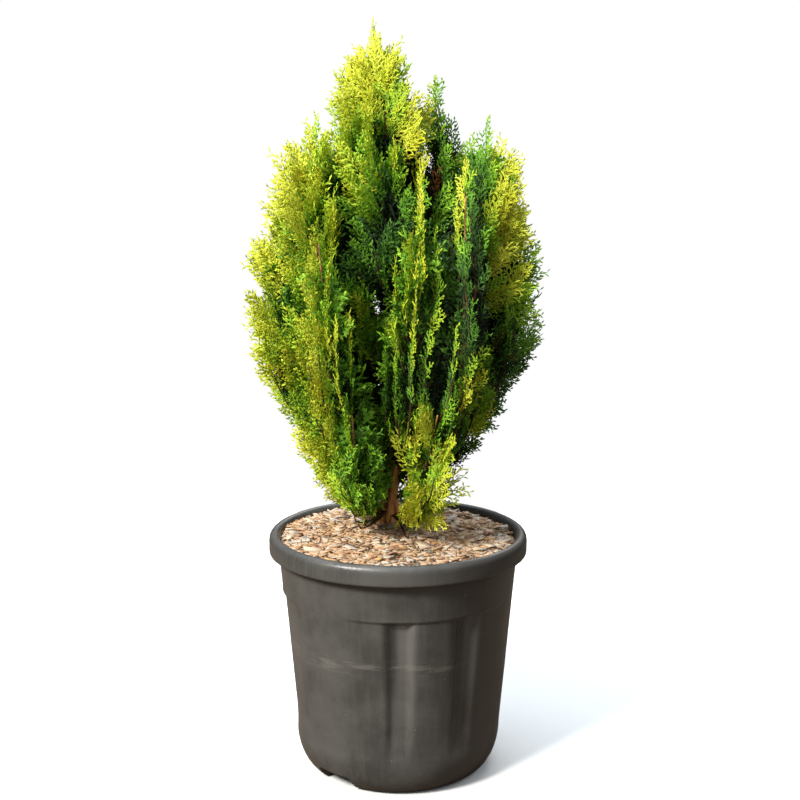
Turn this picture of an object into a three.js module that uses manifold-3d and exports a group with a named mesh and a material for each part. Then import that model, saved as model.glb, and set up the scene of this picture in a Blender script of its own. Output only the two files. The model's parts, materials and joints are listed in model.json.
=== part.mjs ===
// Potted golden thuja: a young oriental thuja in a round plastic nursery pot.
// Millimetres, +Z up, front towards -Y, origin on the ground under the pot's centre.
import * as THREE from 'three';
import { mergeVertices } from 'three/addons/utils/BufferGeometryUtils.js';
import Module from 'manifold-3d';

const wasm = await Module();
wasm.setup();

// ---------------------------------------------------------------- driving sizes

const GAP = 0.3;                // running gap kept between neighbouring solids
const MASS_GAP = 1.4;           // gap between two foliage masses
const SMOOTHING = 0.8;          // how far a mass's surface may move when its slivers merge

// Pot
const POT_HEIGHT = 318;         // ground to the crest of the rolled rim
const POT_SEGMENTS = 48;
const RIM_RADIUS = 170;         // outside of the skirt under the rolled rim
const SKIRT_DEPTH = 26;         // crest to the skirt's lower edge
const SKIRT_WALL = 2.2;
const SKIRT_SHOULDER = 8;       // crest to where the skirt starts to roll over
const ROLL_SHOULDER = 2.6;      // crest to the outer corner of the roll
const ROLL_EDGE = 2.2;          // how far that corner stands in from the skirt
const ROLL_CREST = 7;           // how far the crest stands in from the skirt
const ROLL_FALL = 11;           // where the roll starts to fall towards the mulch
const ROLL_LIP = 7;             // crest to the roll's inner lip
const INNER_WALL_TOP = 16;      // crest to where the inner wall runs straight
const NECK_FLARE = 5;           // how far the neck leans out under the roll
const WALL = 2.4;
const WALL_CORNER = 1.2;        // height of the step that a pressed panel ends on
const NECK_RADIUS = 157.6;      // outside of the wall where it passes under the skirt
const LEDGE_HEIGHT = 241;       // top of the pressed panels
const LEDGE_RADIUS = 152.6;     // outside of the wall just above the pressed panels
const HIP_HEIGHT = 58;          // where the straight wall turns into the rounded foot
const HIP_RADIUS = 136.2;
const FOOT_RADIUS = 106;        // outer edge of the ring the pot stands on
const FOOT_RING = 7;            // width of that ring
const FLOOR_HEIGHT = 10;        // underside of the raised floor
const FLOOR_COVE = 6;           // width of the slope from the raised floor to the ring
const FOOT_CURVE_STEPS = 3;

// Pressed panels: three groups round the pot, each a recess with one pillar in it
const PANEL_GROUPS = 3;
const PANEL_AZIMUTH = 18;       // centre of the first recess, degrees from the front
const RECESS_HALF_ANGLE = 22.5;
const RECESS_DEPTH = 5.5;
const PILLAR_HALF_ANGLE = 15;
const PILLAR_SETBACK = 1.5;     // how far the pillar's crest stays behind the wall
const PANEL_EDGE = 7.5;         // degrees over which a recess wall slopes
const PANEL_FADE_LOW = 40;      // recesses run out at this height
const PANEL_FADE_HIGH = 92;     // and are full above this one

// Drain notches in the foot, one under each flush panel
const NOTCH_AZIMUTH = -41;
const NOTCH_WIDTH = 46;
const NOTCH_HEIGHT = 15;
const NOTCH_REACH = 60;

// Growing medium with its mulch surface
const SOIL_SEGMENTS = 30;
const SOIL_RINGS = 4;
const SOIL_BOTTOM = FLOOR_HEIGHT + WALL + GAP;
const SOIL_EDGE_HEIGHT = 305;   // mean height of the mulch against the wall
const SOIL_CROWN = 12;          // how much higher the mulch lies round the trunk
const SOIL_TILT = 4.5;          // the mulch lies higher towards SOIL_TILT_AZIMUTH
const SOIL_TILT_AZIMUTH = -150;
const SOIL_LUMP = 1.6;          // half height of the mulch's humps and hollows
const SOIL_CLEARANCE = GAP + 0.4;
const SOIL_SHOULDER = 4;        // the soil widens this far above the ledge

// Trunk
const TRUNK_SIDES = 9;
const TRUNK_STEPS = 14;
const GROUND_HEIGHT = 315;      // flat cut where the trunk meets the mulch
const TRUNK_LINE = [            // a point on the trunk's centreline and its radius
  { at: [-14, 34, GROUND_HEIGHT], radius: 19.5 },
  { at: [-13, 33, 327], radius: 15.2 },
  { at: [-10, 30, 365], radius: 13 },
  { at: [-2, 24, 412], radius: 12 },
  { at: [7, 17, 465], radius: 10.4 },
  { at: [12, 11, 530], radius: 8.8 },
  { at: [6, 8, 620], radius: 7 },
  { at: [-8, 5, 720], radius: 5.2 },
  { at: [-20, 2, 820], radius: 3.4 },
  { at: [-28, 0, 900], radius: 1.6 },
];
const TRUNK_OVAL = 0.06;        // how far the trunk's section is out of round
const ROOT_FLARE_LOBES = 5;
const ROOT_FLARE_SWELL = 0.16;
const ROOT_FLARE_HEIGHT = 26;

// Boughs
const BOUGH_SIDES = 6;
const BOUGH_STEPS = 3;
const BOUGH_SEAT = 0.1;         // where a bough ends on its mass's middle line
const BOUGH_SAG = 0.36;         // share of its rise a bough has made half way out
const BOUGH_KNEE = 0.82;        // its thickness half way out, share of that at the trunk
const BOUGH_END = 0.6;          // and where it ends

// Foliage masses. `foot` and `tip` are the ends of the mass's middle line, `wide` and
// `deep` its greatest half sizes across X and Y, `waist` puts the widest place (small is
// low), `bow` bends the middle line, `bough` tells where on the trunk its limb starts
// and how thick it is there. A mass with no bough is carried by the trunk inside it.
const MASS_SIDES = 10;
const MASS_RINGS = 7;
const MASS_ROUGH = 0.06;        // depth of a mass's ribs and bulges, share of its radius
const FLAME_FULLNESS = 0.72;    // 1 is a slim spindle, less is a fuller flame
const FACET_ALLOWANCE = 1.03;   // makes up for the flats between a ring's corners
const MASSES = [
  { name: 'leader_plume', foot: [-4, 14, 608], tip: [-29, 0, 967], wide: 80, deep: 70,
    waist: 0.78, bow: [-4, 0], seed: 1.3 },
  { name: 'second_plume', foot: [42, 16, 636], tip: [48, 12, 906], wide: 38, deep: 48,
    waist: 0.7, bow: [4, 0], seed: 2.1, bough: { height: 575, radius: 5 } },
  { name: 'right_upper_lobe', foot: [82, 2, 590], tip: [112, -4, 842], wide: 57, deep: 68,
    waist: 0.82, bow: [14, 0], seed: 3.7, bough: { height: 505, radius: 6 } },
  { name: 'left_upper_plume', foot: [-58, -4, 580], tip: [-104, -6, 848], wide: 66,
    deep: 68, waist: 0.82, bow: [-15, 0], seed: 4.9, bough: { height: 505, radius: 6 } },
  { name: 'right_mid_mass', foot: [66, 6, 455], tip: [144, 4, 740], wide: 64, deep: 76,
    waist: 0.78, bow: [16, 0], seed: 5.2, bough: { height: 415, radius: 7 } },
  { name: 'left_outer_mass', foot: [-62, 8, 420], tip: [-150, 4, 745], wide: 68, deep: 76,
    waist: 0.76, bow: [-20, 0], seed: 6.4, bough: { height: 372, radius: 8 } },
  { name: 'front_centre_plume', foot: [8, -34, 430], tip: [27, -92, 796], wide: 46,
    deep: 56, waist: 0.75, bow: [3, -24], seed: 7.5, bough: { height: 405, radius: 6 } },
  { name: 'front_left_plume', foot: [-58, -36, 420], tip: [-98, -92, 738], wide: 48,
    deep: 62, waist: 0.75, bow: [-6, -18], seed: 8.8, bough: { height: 385, radius: 6 } },
  { name: 'front_right_plume', foot: [54, -38, 440], tip: [82, -76, 796], wide: 43,
    deep: 58, waist: 0.75, bow: [8, -24], seed: 9.1, bough: { height: 425, radius: 6 } },
  { name: 'back_left_mass', foot: [-48, 62, 420], tip: [-88, 92, 790], wide: 68,
    deep: 68, waist: 0.75, bow: [-12, 24], seed: 10.6, bough: { height: 395, radius: 7 } },
  { name: 'back_mass', foot: [6, 74, 430], tip: [12, 98, 815], wide: 64, deep: 66,
    waist: 0.75, bow: [0, 26], seed: 11.2, bough: { height: 410, radius: 7 } },
  { name: 'back_right_mass', foot: [62, 58, 440], tip: [92, 84, 780], wide: 64, deep: 68,
    waist: 0.75, bow: [14, 24], seed: 12.7, bough: { height: 432, radius: 7 } },
  { name: 'right_low_mass', foot: [40, 8, 366], tip: [120, 6, 590], wide: 45, deep: 62,
    waist: 1.15, bow: [8, 0], seed: 13.4, bough: { height: 352, radius: 5 } },
  { name: 'left_low_mass', foot: [-52, 2, 330], tip: [-118, 2, 540], wide: 38, deep: 52,
    waist: 0.85, bow: [-4, 0], seed: 14.9, bough: { height: 330, radius: 6 } },
  { name: 'front_low_right_fans', foot: [16, -34, 322], tip: [62, -98, 545], wide: 36,
    deep: 40, waist: 0.8, bow: [-2, -14], seed: 15.5, bough: { height: 330, radius: 5 } },
  { name: 'front_low_left_fans', foot: [-38, -34, 338], tip: [-66, -104, 545], wide: 38,
    deep: 42, waist: 0.8, bow: [-4, -14], seed: 16.3, bough: { height: 338, radius: 5 } },
  { name: 'back_low_mass', foot: [-8, 76, 345], tip: [0, 128, 545], wide: 62, deep: 42,
    waist: 0.8, bow: [0, 14], seed: 17.8, bough: { height: 350, radius: 5 } },
];

// Finishes
const FINISHES = {
  pot: { color: 0x1b1c1e, roughness: 0.5, metalness: 0 },
  mulch: { color: 0x8a5f3d, roughness: 0.95, metalness: 0 },
  bark: { color: 0x7a4a2c, roughness: 0.92, metalness: 0 },
  foliage: { color: 0x7fa02e, roughness: 0.8, metalness: 0 },
  foliageGold: { color: 0xb4b83c, roughness: 0.8, metalness: 0 },
  foliageDeep: { color: 0x4f7a33, roughness: 0.82, metalness: 0 },
};
const GOLDEN_MASSES = ['leader_plume', 'left_upper_plume', 'right_upper_lobe',
  'left_outer_mass'];
const DEEP_MASSES = ['second_plume', 'right_low_mass', 'back_low_mass', 'right_mid_mass'];

// ---------------------------------------------------------------- small helpers

const FULL_TURN = Math.PI * 2;
const radians = (degrees) => degrees * Math.PI / 180;
const smooth = (low, high, value) => THREE.MathUtils.smoothstep(value, low, high);
const blend = THREE.MathUtils.lerp;

// Azimuth of a point in degrees from the front, positive towards +X.
const azimuthOf = (x, y) => THREE.MathUtils.radToDeg(Math.atan2(x, -y));

// Wrap an angle in degrees to within half a `period` of zero.
function wrap(angle, period) {
  return angle - period * Math.round(angle / period);
}

// Position-only geometry with shared corners, as a manifold solid.
function solidOf(geometry) {
  const bare = new THREE.BufferGeometry();
  bare.setAttribute('position', geometry.getAttribute('position').clone());
  if (geometry.index) {
    bare.setIndex(geometry.index.clone());
  }
  const welded = mergeVertices(bare, 1e-4);
  const mesh = new wasm.Mesh({
    numProp: 3,
    vertProperties: new Float32Array(welded.getAttribute('position').array),
    triVerts: new Uint32Array(welded.index.array),
  });
  mesh.merge();
  return new wasm.Manifold(mesh);
}

// Back from a manifold solid to a three.js geometry.
function geometryOf(solid) {
  const mesh = solid.getMesh();
  const geometry = new THREE.BufferGeometry();
  const positions = new THREE.BufferAttribute(new Float32Array(mesh.vertProperties), 3);
  geometry.setAttribute('position', positions);
  geometry.setIndex(new THREE.BufferAttribute(new Uint32Array(mesh.triVerts), 1));
  geometry.computeVertexNormals();
  return geometry;
}

// The biggest of a solid's separate bodies.
function mainBody(solid) {
  const bodies = solid.decompose();
  return bodies.reduce((best, body) => (body.volume() > best.volume() ? body : best));
}

// Move every vertex of a geometry with a function of its position.
function reshape(geometry, move) {
  const positions = geometry.getAttribute('position');
  const point = new THREE.Vector3();
  for (let i = 0; i < positions.count; i += 1) {
    point.fromBufferAttribute(positions, i);
    move(point);
    positions.setXYZ(i, point.x, point.y, point.z);
  }
  return geometry;
}

// Body of revolution about Z from [radius, height] pairs, its first seam at an azimuth.
function revolve(profile, segments, azimuth) {
  const points = profile.map(([radius, height]) => new THREE.Vector2(radius, height));
  const geometry = new THREE.LatheGeometry(points, segments, radians(azimuth), FULL_TURN);
  geometry.rotateX(Math.PI / 2);
  return geometry;
}

// ---------------------------------------------------------------- pot

// Depth of the pressed panels at an azimuth and height.
function pressDepth(azimuth, height) {
  const around = Math.abs(wrap(azimuth - PANEL_AZIMUTH, 360 / PANEL_GROUPS));
  const inRecess = 1 - smooth(RECESS_HALF_ANGLE - PANEL_EDGE, RECESS_HALF_ANGLE, around);
  const onPillar = 1 - smooth(PANEL_EDGE / 2, PILLAR_HALF_ANGLE, around);
  const across = RECESS_DEPTH * inRecess - (RECESS_DEPTH - PILLAR_SETBACK) * onPillar;
  return across * smooth(PANEL_FADE_LOW, PANEL_FADE_HIGH, height);
}

// Outside radius of the plain wall at a height, without the pressed panels.
function wallRadius(height) {
  if (height <= HIP_HEIGHT) {
    const turn = Math.sqrt(Math.max(0, 1 - (1 - height / HIP_HEIGHT) ** 2));
    return blend(FOOT_RADIUS, HIP_RADIUS, turn);
  }
  if (height <= LEDGE_HEIGHT) {
    const up = (height - HIP_HEIGHT) / (LEDGE_HEIGHT - HIP_HEIGHT);
    return blend(HIP_RADIUS, LEDGE_RADIUS, up);
  }
  const up = (height - LEDGE_HEIGHT) / (POT_HEIGHT - SKIRT_DEPTH - LEDGE_HEIGHT);
  return blend(LEDGE_RADIUS, NECK_RADIUS, Math.min(up, 1));
}

// Heights at which the wall has a ring of corners.
function wallRings() {
  const rings = [];
  for (let i = 1; i <= FOOT_CURVE_STEPS; i += 1) {
    const turn = (i / FOOT_CURVE_STEPS) * Math.PI / 2;
    rings.push(HIP_HEIGHT * (1 - Math.cos(turn)));
  }
  rings.push(PANEL_FADE_HIGH, LEDGE_HEIGHT - WALL_CORNER, LEDGE_HEIGHT);
  return rings;
}

function potSolid() {
  const skirtFoot = POT_HEIGHT - SKIRT_DEPTH;
  const skirtInside = RIM_RADIUS - SKIRT_WALL;
  const outside = wallRings().map((height) => [wallRadius(height), height]);
  const inside = [LEDGE_HEIGHT, PANEL_FADE_HIGH, HIP_HEIGHT, HIP_HEIGHT / 2]
    .map((height) => [wallRadius(height) - WALL, height]);
  const underFloor = FOOT_RADIUS - FOOT_RING;
  const profile = [
    [0, FLOOR_HEIGHT],
    [underFloor - FLOOR_COVE, FLOOR_HEIGHT],
    [underFloor, 0],
    [FOOT_RADIUS, 0],
    ...outside,
    [NECK_RADIUS, skirtFoot],
    [NECK_RADIUS + NECK_FLARE, POT_HEIGHT - SKIRT_SHOULDER + 2],
    [skirtInside - 1, POT_HEIGHT - SKIRT_SHOULDER],
    [skirtInside, skirtFoot],
    [RIM_RADIUS, skirtFoot],
    [RIM_RADIUS, POT_HEIGHT - SKIRT_SHOULDER],
    [RIM_RADIUS - ROLL_EDGE, POT_HEIGHT - ROLL_SHOULDER],
    [RIM_RADIUS - ROLL_CREST, POT_HEIGHT],
    [RIM_RADIUS - ROLL_FALL, POT_HEIGHT - 2],
    [NECK_RADIUS - WALL + 2, POT_HEIGHT - ROLL_LIP],
    [NECK_RADIUS - WALL, POT_HEIGHT - INNER_WALL_TOP],
    ...inside,
    [underFloor, FLOOR_HEIGHT + WALL],
    [0, FLOOR_HEIGHT + WALL],
  ];
  const pressed = reshape(revolve(profile, POT_SEGMENTS, PANEL_AZIMUTH), (point) => {
    const radius = Math.hypot(point.x, point.y);
    if (radius > FOOT_RADIUS - FOOT_RING && point.z < LEDGE_HEIGHT) {
      const depth = pressDepth(azimuthOf(point.x, point.y), point.z);
      point.x *= 1 - depth / radius;
      point.y *= 1 - depth / radius;
    }
  });
  return solidOf(pressed).subtract(notchCutters());
}

// Blocks that cut the drain notches through the foot ring.
function notchCutters() {
  const blocks = [];
  for (let i = 0; i < PANEL_GROUPS; i += 1) {
    const azimuth = radians(NOTCH_AZIMUTH + i * 360 / PANEL_GROUPS);
    const block = new THREE.BoxGeometry(NOTCH_WIDTH, NOTCH_REACH, 2 * NOTCH_HEIGHT);
    block.translate(0, -FOOT_RADIUS + 2 * FOOT_RING - NOTCH_REACH / 2, 0);
    block.rotateZ(azimuth);
    blocks.push(solidOf(block));
  }
  return wasm.Manifold.union(blocks);
}

// ---------------------------------------------------------------- growing medium

// Height of the mulch surface at a place.
function mulchHeight(x, y) {
  const radius = Math.hypot(x, y) / NECK_RADIUS;
  const crown = SOIL_CROWN * (1 - radius * radius);
  const toward = Math.cos(radians(azimuthOf(x, y) - SOIL_TILT_AZIMUTH));
  const lumps = Math.sin(x * 0.071 + 1.1) * Math.cos(y * 0.083 - 0.4)
    + 0.6 * Math.sin(x * 0.13 - y * 0.11);
  return SOIL_EDGE_HEIGHT + crown + SOIL_TILT * radius * toward + SOIL_LUMP * lumps;
}

function soilSolid() {
  const clear = WALL + SOIL_CLEARANCE;
  const buried = clear + RECESS_DEPTH;
  const topRadius = wallRadius(SOIL_EDGE_HEIGHT) - clear - 1;
  const profile = [
    [0, SOIL_BOTTOM],
    [FOOT_RADIUS - FOOT_RING - FLOOR_COVE, SOIL_BOTTOM],
    [wallRadius(HIP_HEIGHT / 2) - buried, HIP_HEIGHT / 2],
    [wallRadius(HIP_HEIGHT) - buried, HIP_HEIGHT],
    [wallRadius(LEDGE_HEIGHT) - buried, LEDGE_HEIGHT - 1],
    [wallRadius(LEDGE_HEIGHT) - clear, LEDGE_HEIGHT + SOIL_SHOULDER],
  ];
  for (let ring = SOIL_RINGS; ring >= 0; ring -= 1) {
    profile.push([topRadius * ring / SOIL_RINGS, SOIL_EDGE_HEIGHT]);
  }
  const mounded = reshape(revolve(profile, SOIL_SEGMENTS, 0), (point) => {
    if (point.z > SOIL_EDGE_HEIGHT - 1) {
      point.z = mulchHeight(point.x, point.y);
    }
  });
  return solidOf(mounded);
}

// ---------------------------------------------------------------- limbs

// A closed limb along a line of {at, radius} stations, grown by `extra` all round.
function limbSolid(stations, sides, steps, extra, swell) {
  const line = new THREE.CatmullRomCurve3(
    stations.map(({ at }) => new THREE.Vector3(...at)),
  );
  const last = stations.length - 1;
  const geometry = new THREE.CylinderGeometry(1, 1, 1, sides, steps, false);
  const aside = new THREE.Vector3(0, 1, 0);
  reshape(geometry, (point) => {
    const along = THREE.MathUtils.clamp(point.y + 0.5, 0, 1);
    const place = Math.min(along * last, last - 1e-6);
    const index = Math.floor(place);
    const radius = blend(stations[index].radius, stations[index + 1].radius,
      place - index);
    const centre = line.getPoint(along);
    const heading = line.getTangent(along);
    const first = new THREE.Vector3().crossVectors(aside, heading).normalize();
    const second = new THREE.Vector3().crossVectors(first, heading);
    const turn = Math.atan2(point.z, point.x);
    const out = Math.hypot(point.x, point.z);
    const reach = out * (radius * swell(turn, centre) + extra);
    centre.addScaledVector(first, reach * Math.cos(turn));
    centre.addScaledVector(second, reach * Math.sin(turn));
    if (along === 0) {
      centre.addScaledVector(heading, -extra);
    } else if (along === 1) {
      centre.addScaledVector(heading, extra);
    }
    point.copy(centre);
  });
  return solidOf(geometry);
}

// The trunk swells into lobed root flares just above the mulch.
function flare(turn, centre) {
  const low = 1 - smooth(GROUND_HEIGHT, GROUND_HEIGHT + ROOT_FLARE_HEIGHT, centre.z);
  const oval = TRUNK_OVAL * Math.cos(2 * turn + 0.8);
  return 1 + oval + ROOT_FLARE_SWELL * low * Math.cos(ROOT_FLARE_LOBES * turn + 0.5);
}

function trunkSolid(extra) {
  const grown = limbSolid(TRUNK_LINE, TRUNK_SIDES, TRUNK_STEPS, extra, flare);
  return grown.trimByPlane([0, 0, 1], GROUND_HEIGHT - extra);
}

// Centre of the trunk at a height.
function trunkAt(height) {
  const upper = TRUNK_LINE.findIndex(({ at }) => at[2] > height);
  const [low, high] = [TRUNK_LINE[upper - 1].at, TRUNK_LINE[upper].at];
  const up = (height - low[2]) / (high[2] - low[2]);
  return low.map((value, axis) => blend(value, high[axis], up));
}

// Middle line of a mass at a fraction of its height.
function middleOf(mass, up) {
  const bend = 4 * up * (1 - up);
  return new THREE.Vector3(
    blend(mass.foot[0], mass.tip[0], up) + bend * mass.bow[0],
    blend(mass.foot[1], mass.tip[1], up) + bend * mass.bow[1],
    blend(mass.foot[2], mass.tip[2], up),
  );
}

// One tapering bough that leaves the trunk, sweeps up and ends inside its mass.
function boughSolid(mass, extra) {
  const start = new THREE.Vector3(...trunkAt(mass.bough.height));
  const seat = middleOf(mass, BOUGH_SEAT);
  const knee = start.clone().lerp(seat, 0.5);
  knee.z = blend(start.z, seat.z, BOUGH_SAG);
  const radius = mass.bough.radius;
  const stations = [
    { at: start.toArray(), radius },
    { at: knee.toArray(), radius: radius * BOUGH_KNEE },
    { at: seat.toArray(), radius: radius * BOUGH_END },
  ];
  return limbSolid(stations, BOUGH_SIDES, BOUGH_STEPS, extra, () => 1);
}

// ---------------------------------------------------------------- foliage

// Radius share of a flame-shaped mass at a fraction of its height.
function flame(up, waist) {
  return FACET_ALLOWANCE * Math.sin(Math.PI * up ** waist) ** FLAME_FULLNESS;
}

// Shallow upright ribs and bulges, different for every mass.
function unevenness(turn, up, seed) {
  const ribs = Math.sin(4 * turn + seed * 1.7 + 2 * up);
  const bulges = Math.sin(3 * turn - seed + 9 * up) * Math.cos(11 * up + seed * 2.3);
  return 1 + MASS_ROUGH * (0.7 * ribs + bulges);
}

function massSolid(mass, extra) {
  const ball = new THREE.SphereGeometry(1, MASS_SIDES, MASS_RINGS);
  ball.rotateX(Math.PI / 2);
  const stretch = extra / (mass.tip[2] - mass.foot[2]);
  reshape(ball, (point) => {
    const up = THREE.MathUtils.clamp((point.z + 1) / 2, 0, 1);
    const ring = Math.hypot(point.x, point.y);
    const turn = Math.atan2(point.y, point.x);
    const share = flame(up, mass.waist) * unevenness(turn, up, mass.seed);
    const centre = middleOf(mass, up);
    if (ring > 1e-6) {
      point.x = centre.x + (point.x / ring) * (mass.wide * share + extra);
      point.y = centre.y + (point.y / ring) * (mass.deep * share + extra);
    } else {
      point.x = centre.x;
      point.y = centre.y;
    }
    point.z = centre.z + (2 * up - 1) * stretch * (mass.tip[2] - mass.foot[2]);
  });
  return solidOf(ball);
}

// ---------------------------------------------------------------- assembly

const part = new THREE.Group();
part.name = 'potted_thuja';

function addNode(name, solid, finish) {
  const material = new THREE.MeshStandardMaterial({ ...FINISHES[finish] });
  const mesh = new THREE.Mesh(geometryOf(solid), material);
  mesh.name = name;
  part.add(mesh);
}

function finishOf(name) {
  if (GOLDEN_MASSES.includes(name)) {
    return 'foliageGold';
  }
  return DEEP_MASSES.includes(name) ? 'foliageDeep' : 'foliage';
}

const boughName = (mass) => `bough_to_${mass.name}`;

const trunkRoom = trunkSolid(GAP);
const limbed = MASSES.filter((mass) => mass.bough);
const limbRooms = [trunkRoom, ...limbed.map((mass) => boughSolid(mass, GAP))];

addNode('pot', potSolid(), 'pot');
addNode('mulch_and_soil', soilSolid().subtract(wasm.Manifold.union(limbRooms)), 'mulch');
addNode('trunk', trunkSolid(0), 'bark');

// Boughs, each cut round the trunk and the boughs before it.
limbed.forEach((mass, index) => {
  const room = wasm.Manifold.union(limbRooms.slice(0, index + 1));
  addNode(boughName(mass), mainBody(boughSolid(mass, 0).subtract(room)), 'bark');
});

// Masses, each cut round the trunk, every bough and the masses before it.
const limbRoom = wasm.Manifold.union(limbRooms);
let taken = wasm.Manifold.union([]);
for (const mass of MASSES) {
  const carved = massSolid(mass, 0).subtract(taken).simplify(SMOOTHING);
  addNode(mass.name, mainBody(carved.subtract(limbRoom)), finishOf(mass.name));
  taken = taken.add(massSolid(mass, MASS_GAP));
}

export default part;
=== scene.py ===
"""Potted golden thuja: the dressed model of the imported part.

A young oriental thuja stands in a round black nursery pot with a mulch of bark chips.
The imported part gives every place: the pot, the mulch, the trunk, one bough for each
foliage mass, and the masses themselves. The masses are replaced by limbs, twigs and
flat leaf sprays that a seeded branching rule grows on from the boughs. Metres, Z up.
"""

import json
import logging
import math
from collections.abc import Iterator, Sequence
from dataclasses import dataclass, field
from enum import Enum, IntEnum
from itertools import product
from typing import Self

import bpy
import numpy as np
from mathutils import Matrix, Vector

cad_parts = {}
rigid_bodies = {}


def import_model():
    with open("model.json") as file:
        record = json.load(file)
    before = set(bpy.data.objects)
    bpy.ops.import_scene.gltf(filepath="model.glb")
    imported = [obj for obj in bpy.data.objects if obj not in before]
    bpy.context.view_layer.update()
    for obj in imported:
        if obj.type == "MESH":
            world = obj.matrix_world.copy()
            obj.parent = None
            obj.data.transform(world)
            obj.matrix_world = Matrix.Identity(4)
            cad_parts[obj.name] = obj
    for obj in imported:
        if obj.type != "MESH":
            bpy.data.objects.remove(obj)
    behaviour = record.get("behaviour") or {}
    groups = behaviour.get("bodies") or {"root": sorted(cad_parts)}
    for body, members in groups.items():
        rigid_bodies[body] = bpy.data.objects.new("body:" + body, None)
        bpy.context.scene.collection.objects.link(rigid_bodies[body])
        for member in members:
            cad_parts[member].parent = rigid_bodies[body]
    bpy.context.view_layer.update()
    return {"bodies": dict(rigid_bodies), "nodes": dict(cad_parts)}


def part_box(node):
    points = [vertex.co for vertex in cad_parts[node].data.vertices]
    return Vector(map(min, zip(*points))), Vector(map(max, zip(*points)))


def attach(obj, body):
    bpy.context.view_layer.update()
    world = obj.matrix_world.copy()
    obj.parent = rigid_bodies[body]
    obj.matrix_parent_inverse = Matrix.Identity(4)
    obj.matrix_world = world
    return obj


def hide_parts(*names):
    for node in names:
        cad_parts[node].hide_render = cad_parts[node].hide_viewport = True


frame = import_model()

Array = np.ndarray
Socket = bpy.types.NodeSocket
Material = bpy.types.Material
Piece = bpy.types.Object
Span = tuple[float, float]
Triple = tuple[float, float, float]
Colour = Triple
LOG = logging.getLogger("potted_thuja")
FULL_TURN = 2.0 * math.pi
UP = np.array([0.0, 0.0, 1.0])
ASKEW = np.array([0.31, 0.87, 0.21])  # a direction that no limb runs along


# ---- small arithmetic


def unit(vectors: Array) -> Array:
    """Vectors of the last axis, each divided by its length."""
    return vectors / np.maximum(np.linalg.norm(vectors, axis=-1, keepdims=True), 1e-9)


def smooth_step(low: float, high: float, value: Array) -> Array:
    """0 below low, 1 above high, and 3t² - 2t³ between."""
    share = np.clip((value - low) / (high - low), 0.0, 1.0)
    return share * share * (3.0 - 2.0 * share)


def mix(first: Array, second: Array, share: Array) -> Array:
    """The value that lies a share of the way from first to second."""
    return first + (second - first) * share


def linear(*display: int) -> Colour:
    """A display colour, red, green and blue of 0 to 255, as linear light."""
    shares = (value / 255.0 for value in display)
    return tuple(s / 12.92 if s <= 0.04045 else ((s + 0.055) / 1.055) ** 2.4 for s in shares)


def cube_corners(share: Array) -> Iterator[tuple[Array, Array]]:
    """The eight corners round a place in a cell, and the weight of each in a blend."""
    for corner in product((0, 1), repeat=3):
        step = np.array(corner)
        yield step, np.prod(np.where(step == 1, share, 1.0 - share), axis=-1)


def lattice_noise(at: Array, seed: int) -> Array:
    """Smooth random heights between -1 and 1, one hill or hollow about every unit.

    Each whole-number corner gets a random height from a hash of its numbers, and a
    point takes the smooth-stepped blend of the eight corners round it.

    Args:
        at: Points, (..., 3), in lattice units.
        seed: Changes every height.

    Returns:
        Heights, (...).
    """
    low = np.floor(at).astype(np.int64)
    share = at - low
    share = share * share * (3.0 - 2.0 * share)
    total = np.zeros(at.shape[:-1])
    for corner, weight in cube_corners(share):
        place = low + corner
        key = place[..., 0] * 374761393 + place[..., 1] * 668265263
        key = (key + place[..., 2] * 2147483647 + seed * 974634777) & 0xFFFFFFFF
        key = ((key ^ (key >> 13)) * 1274126177) & 0xFFFFFFFF
        height = ((key ^ (key >> 16)) & 0xFFFF) / 32767.5 - 1.0
        total += weight * height
    return total


def turned(vectors: Array, axes: Array, angles: Array) -> Array:
    """Vectors turned about axes: v cos a + (k x v) sin a + k (k . v)(1 - cos a).

    Args:
        vectors: What is turned, (..., 3).
        axes: Unit vectors, (..., 3).
        angles: Radians, (...).

    Returns:
        The turned vectors, (..., 3).
    """
    cosine = np.cos(angles)[..., None]
    sine = np.sin(angles)[..., None]
    along = np.sum(axes * vectors, axis=-1, keepdims=True)
    return vectors * cosine + np.cross(axes, vectors) * sine + axes * along * (1.0 - cosine)


def pointing(azimuth: Array, climb: Array) -> Array:
    """Unit vectors at an azimuth from the x axis and a climb over level ground, radians."""
    level = np.cos(climb)
    return np.stack([level * np.cos(azimuth), level * np.sin(azimuth), np.sin(climb)], axis=-1)


def run_along(line: Array) -> Array:
    """Distance of each point of a line from its first point, along the line."""
    steps = np.linalg.norm(np.diff(line, axis=0), axis=1)
    return np.concatenate([[0.0], np.cumsum(steps)])


def read_line(places: Array, order: Array, line: Array) -> Array:
    """Points of a line, (points, axes), at places in its order, blended between points."""
    return np.stack([np.interp(places, order, column) for column in line.T], axis=-1)


def smoothed(line: Array, times: int) -> Array:
    """A line whose inner points have become (a + 2b + c) / 4 with their neighbours.

    Args:
        line: Points, (points, axes).
        times: How often.

    Returns:
        The smoothed line.
    """
    line = line.copy()
    for _ in range(times):
        line[1:-1] = (line[:-2] + 2.0 * line[1:-1] + line[2:]) / 4.0
    return line


# ---- surfaces


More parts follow.
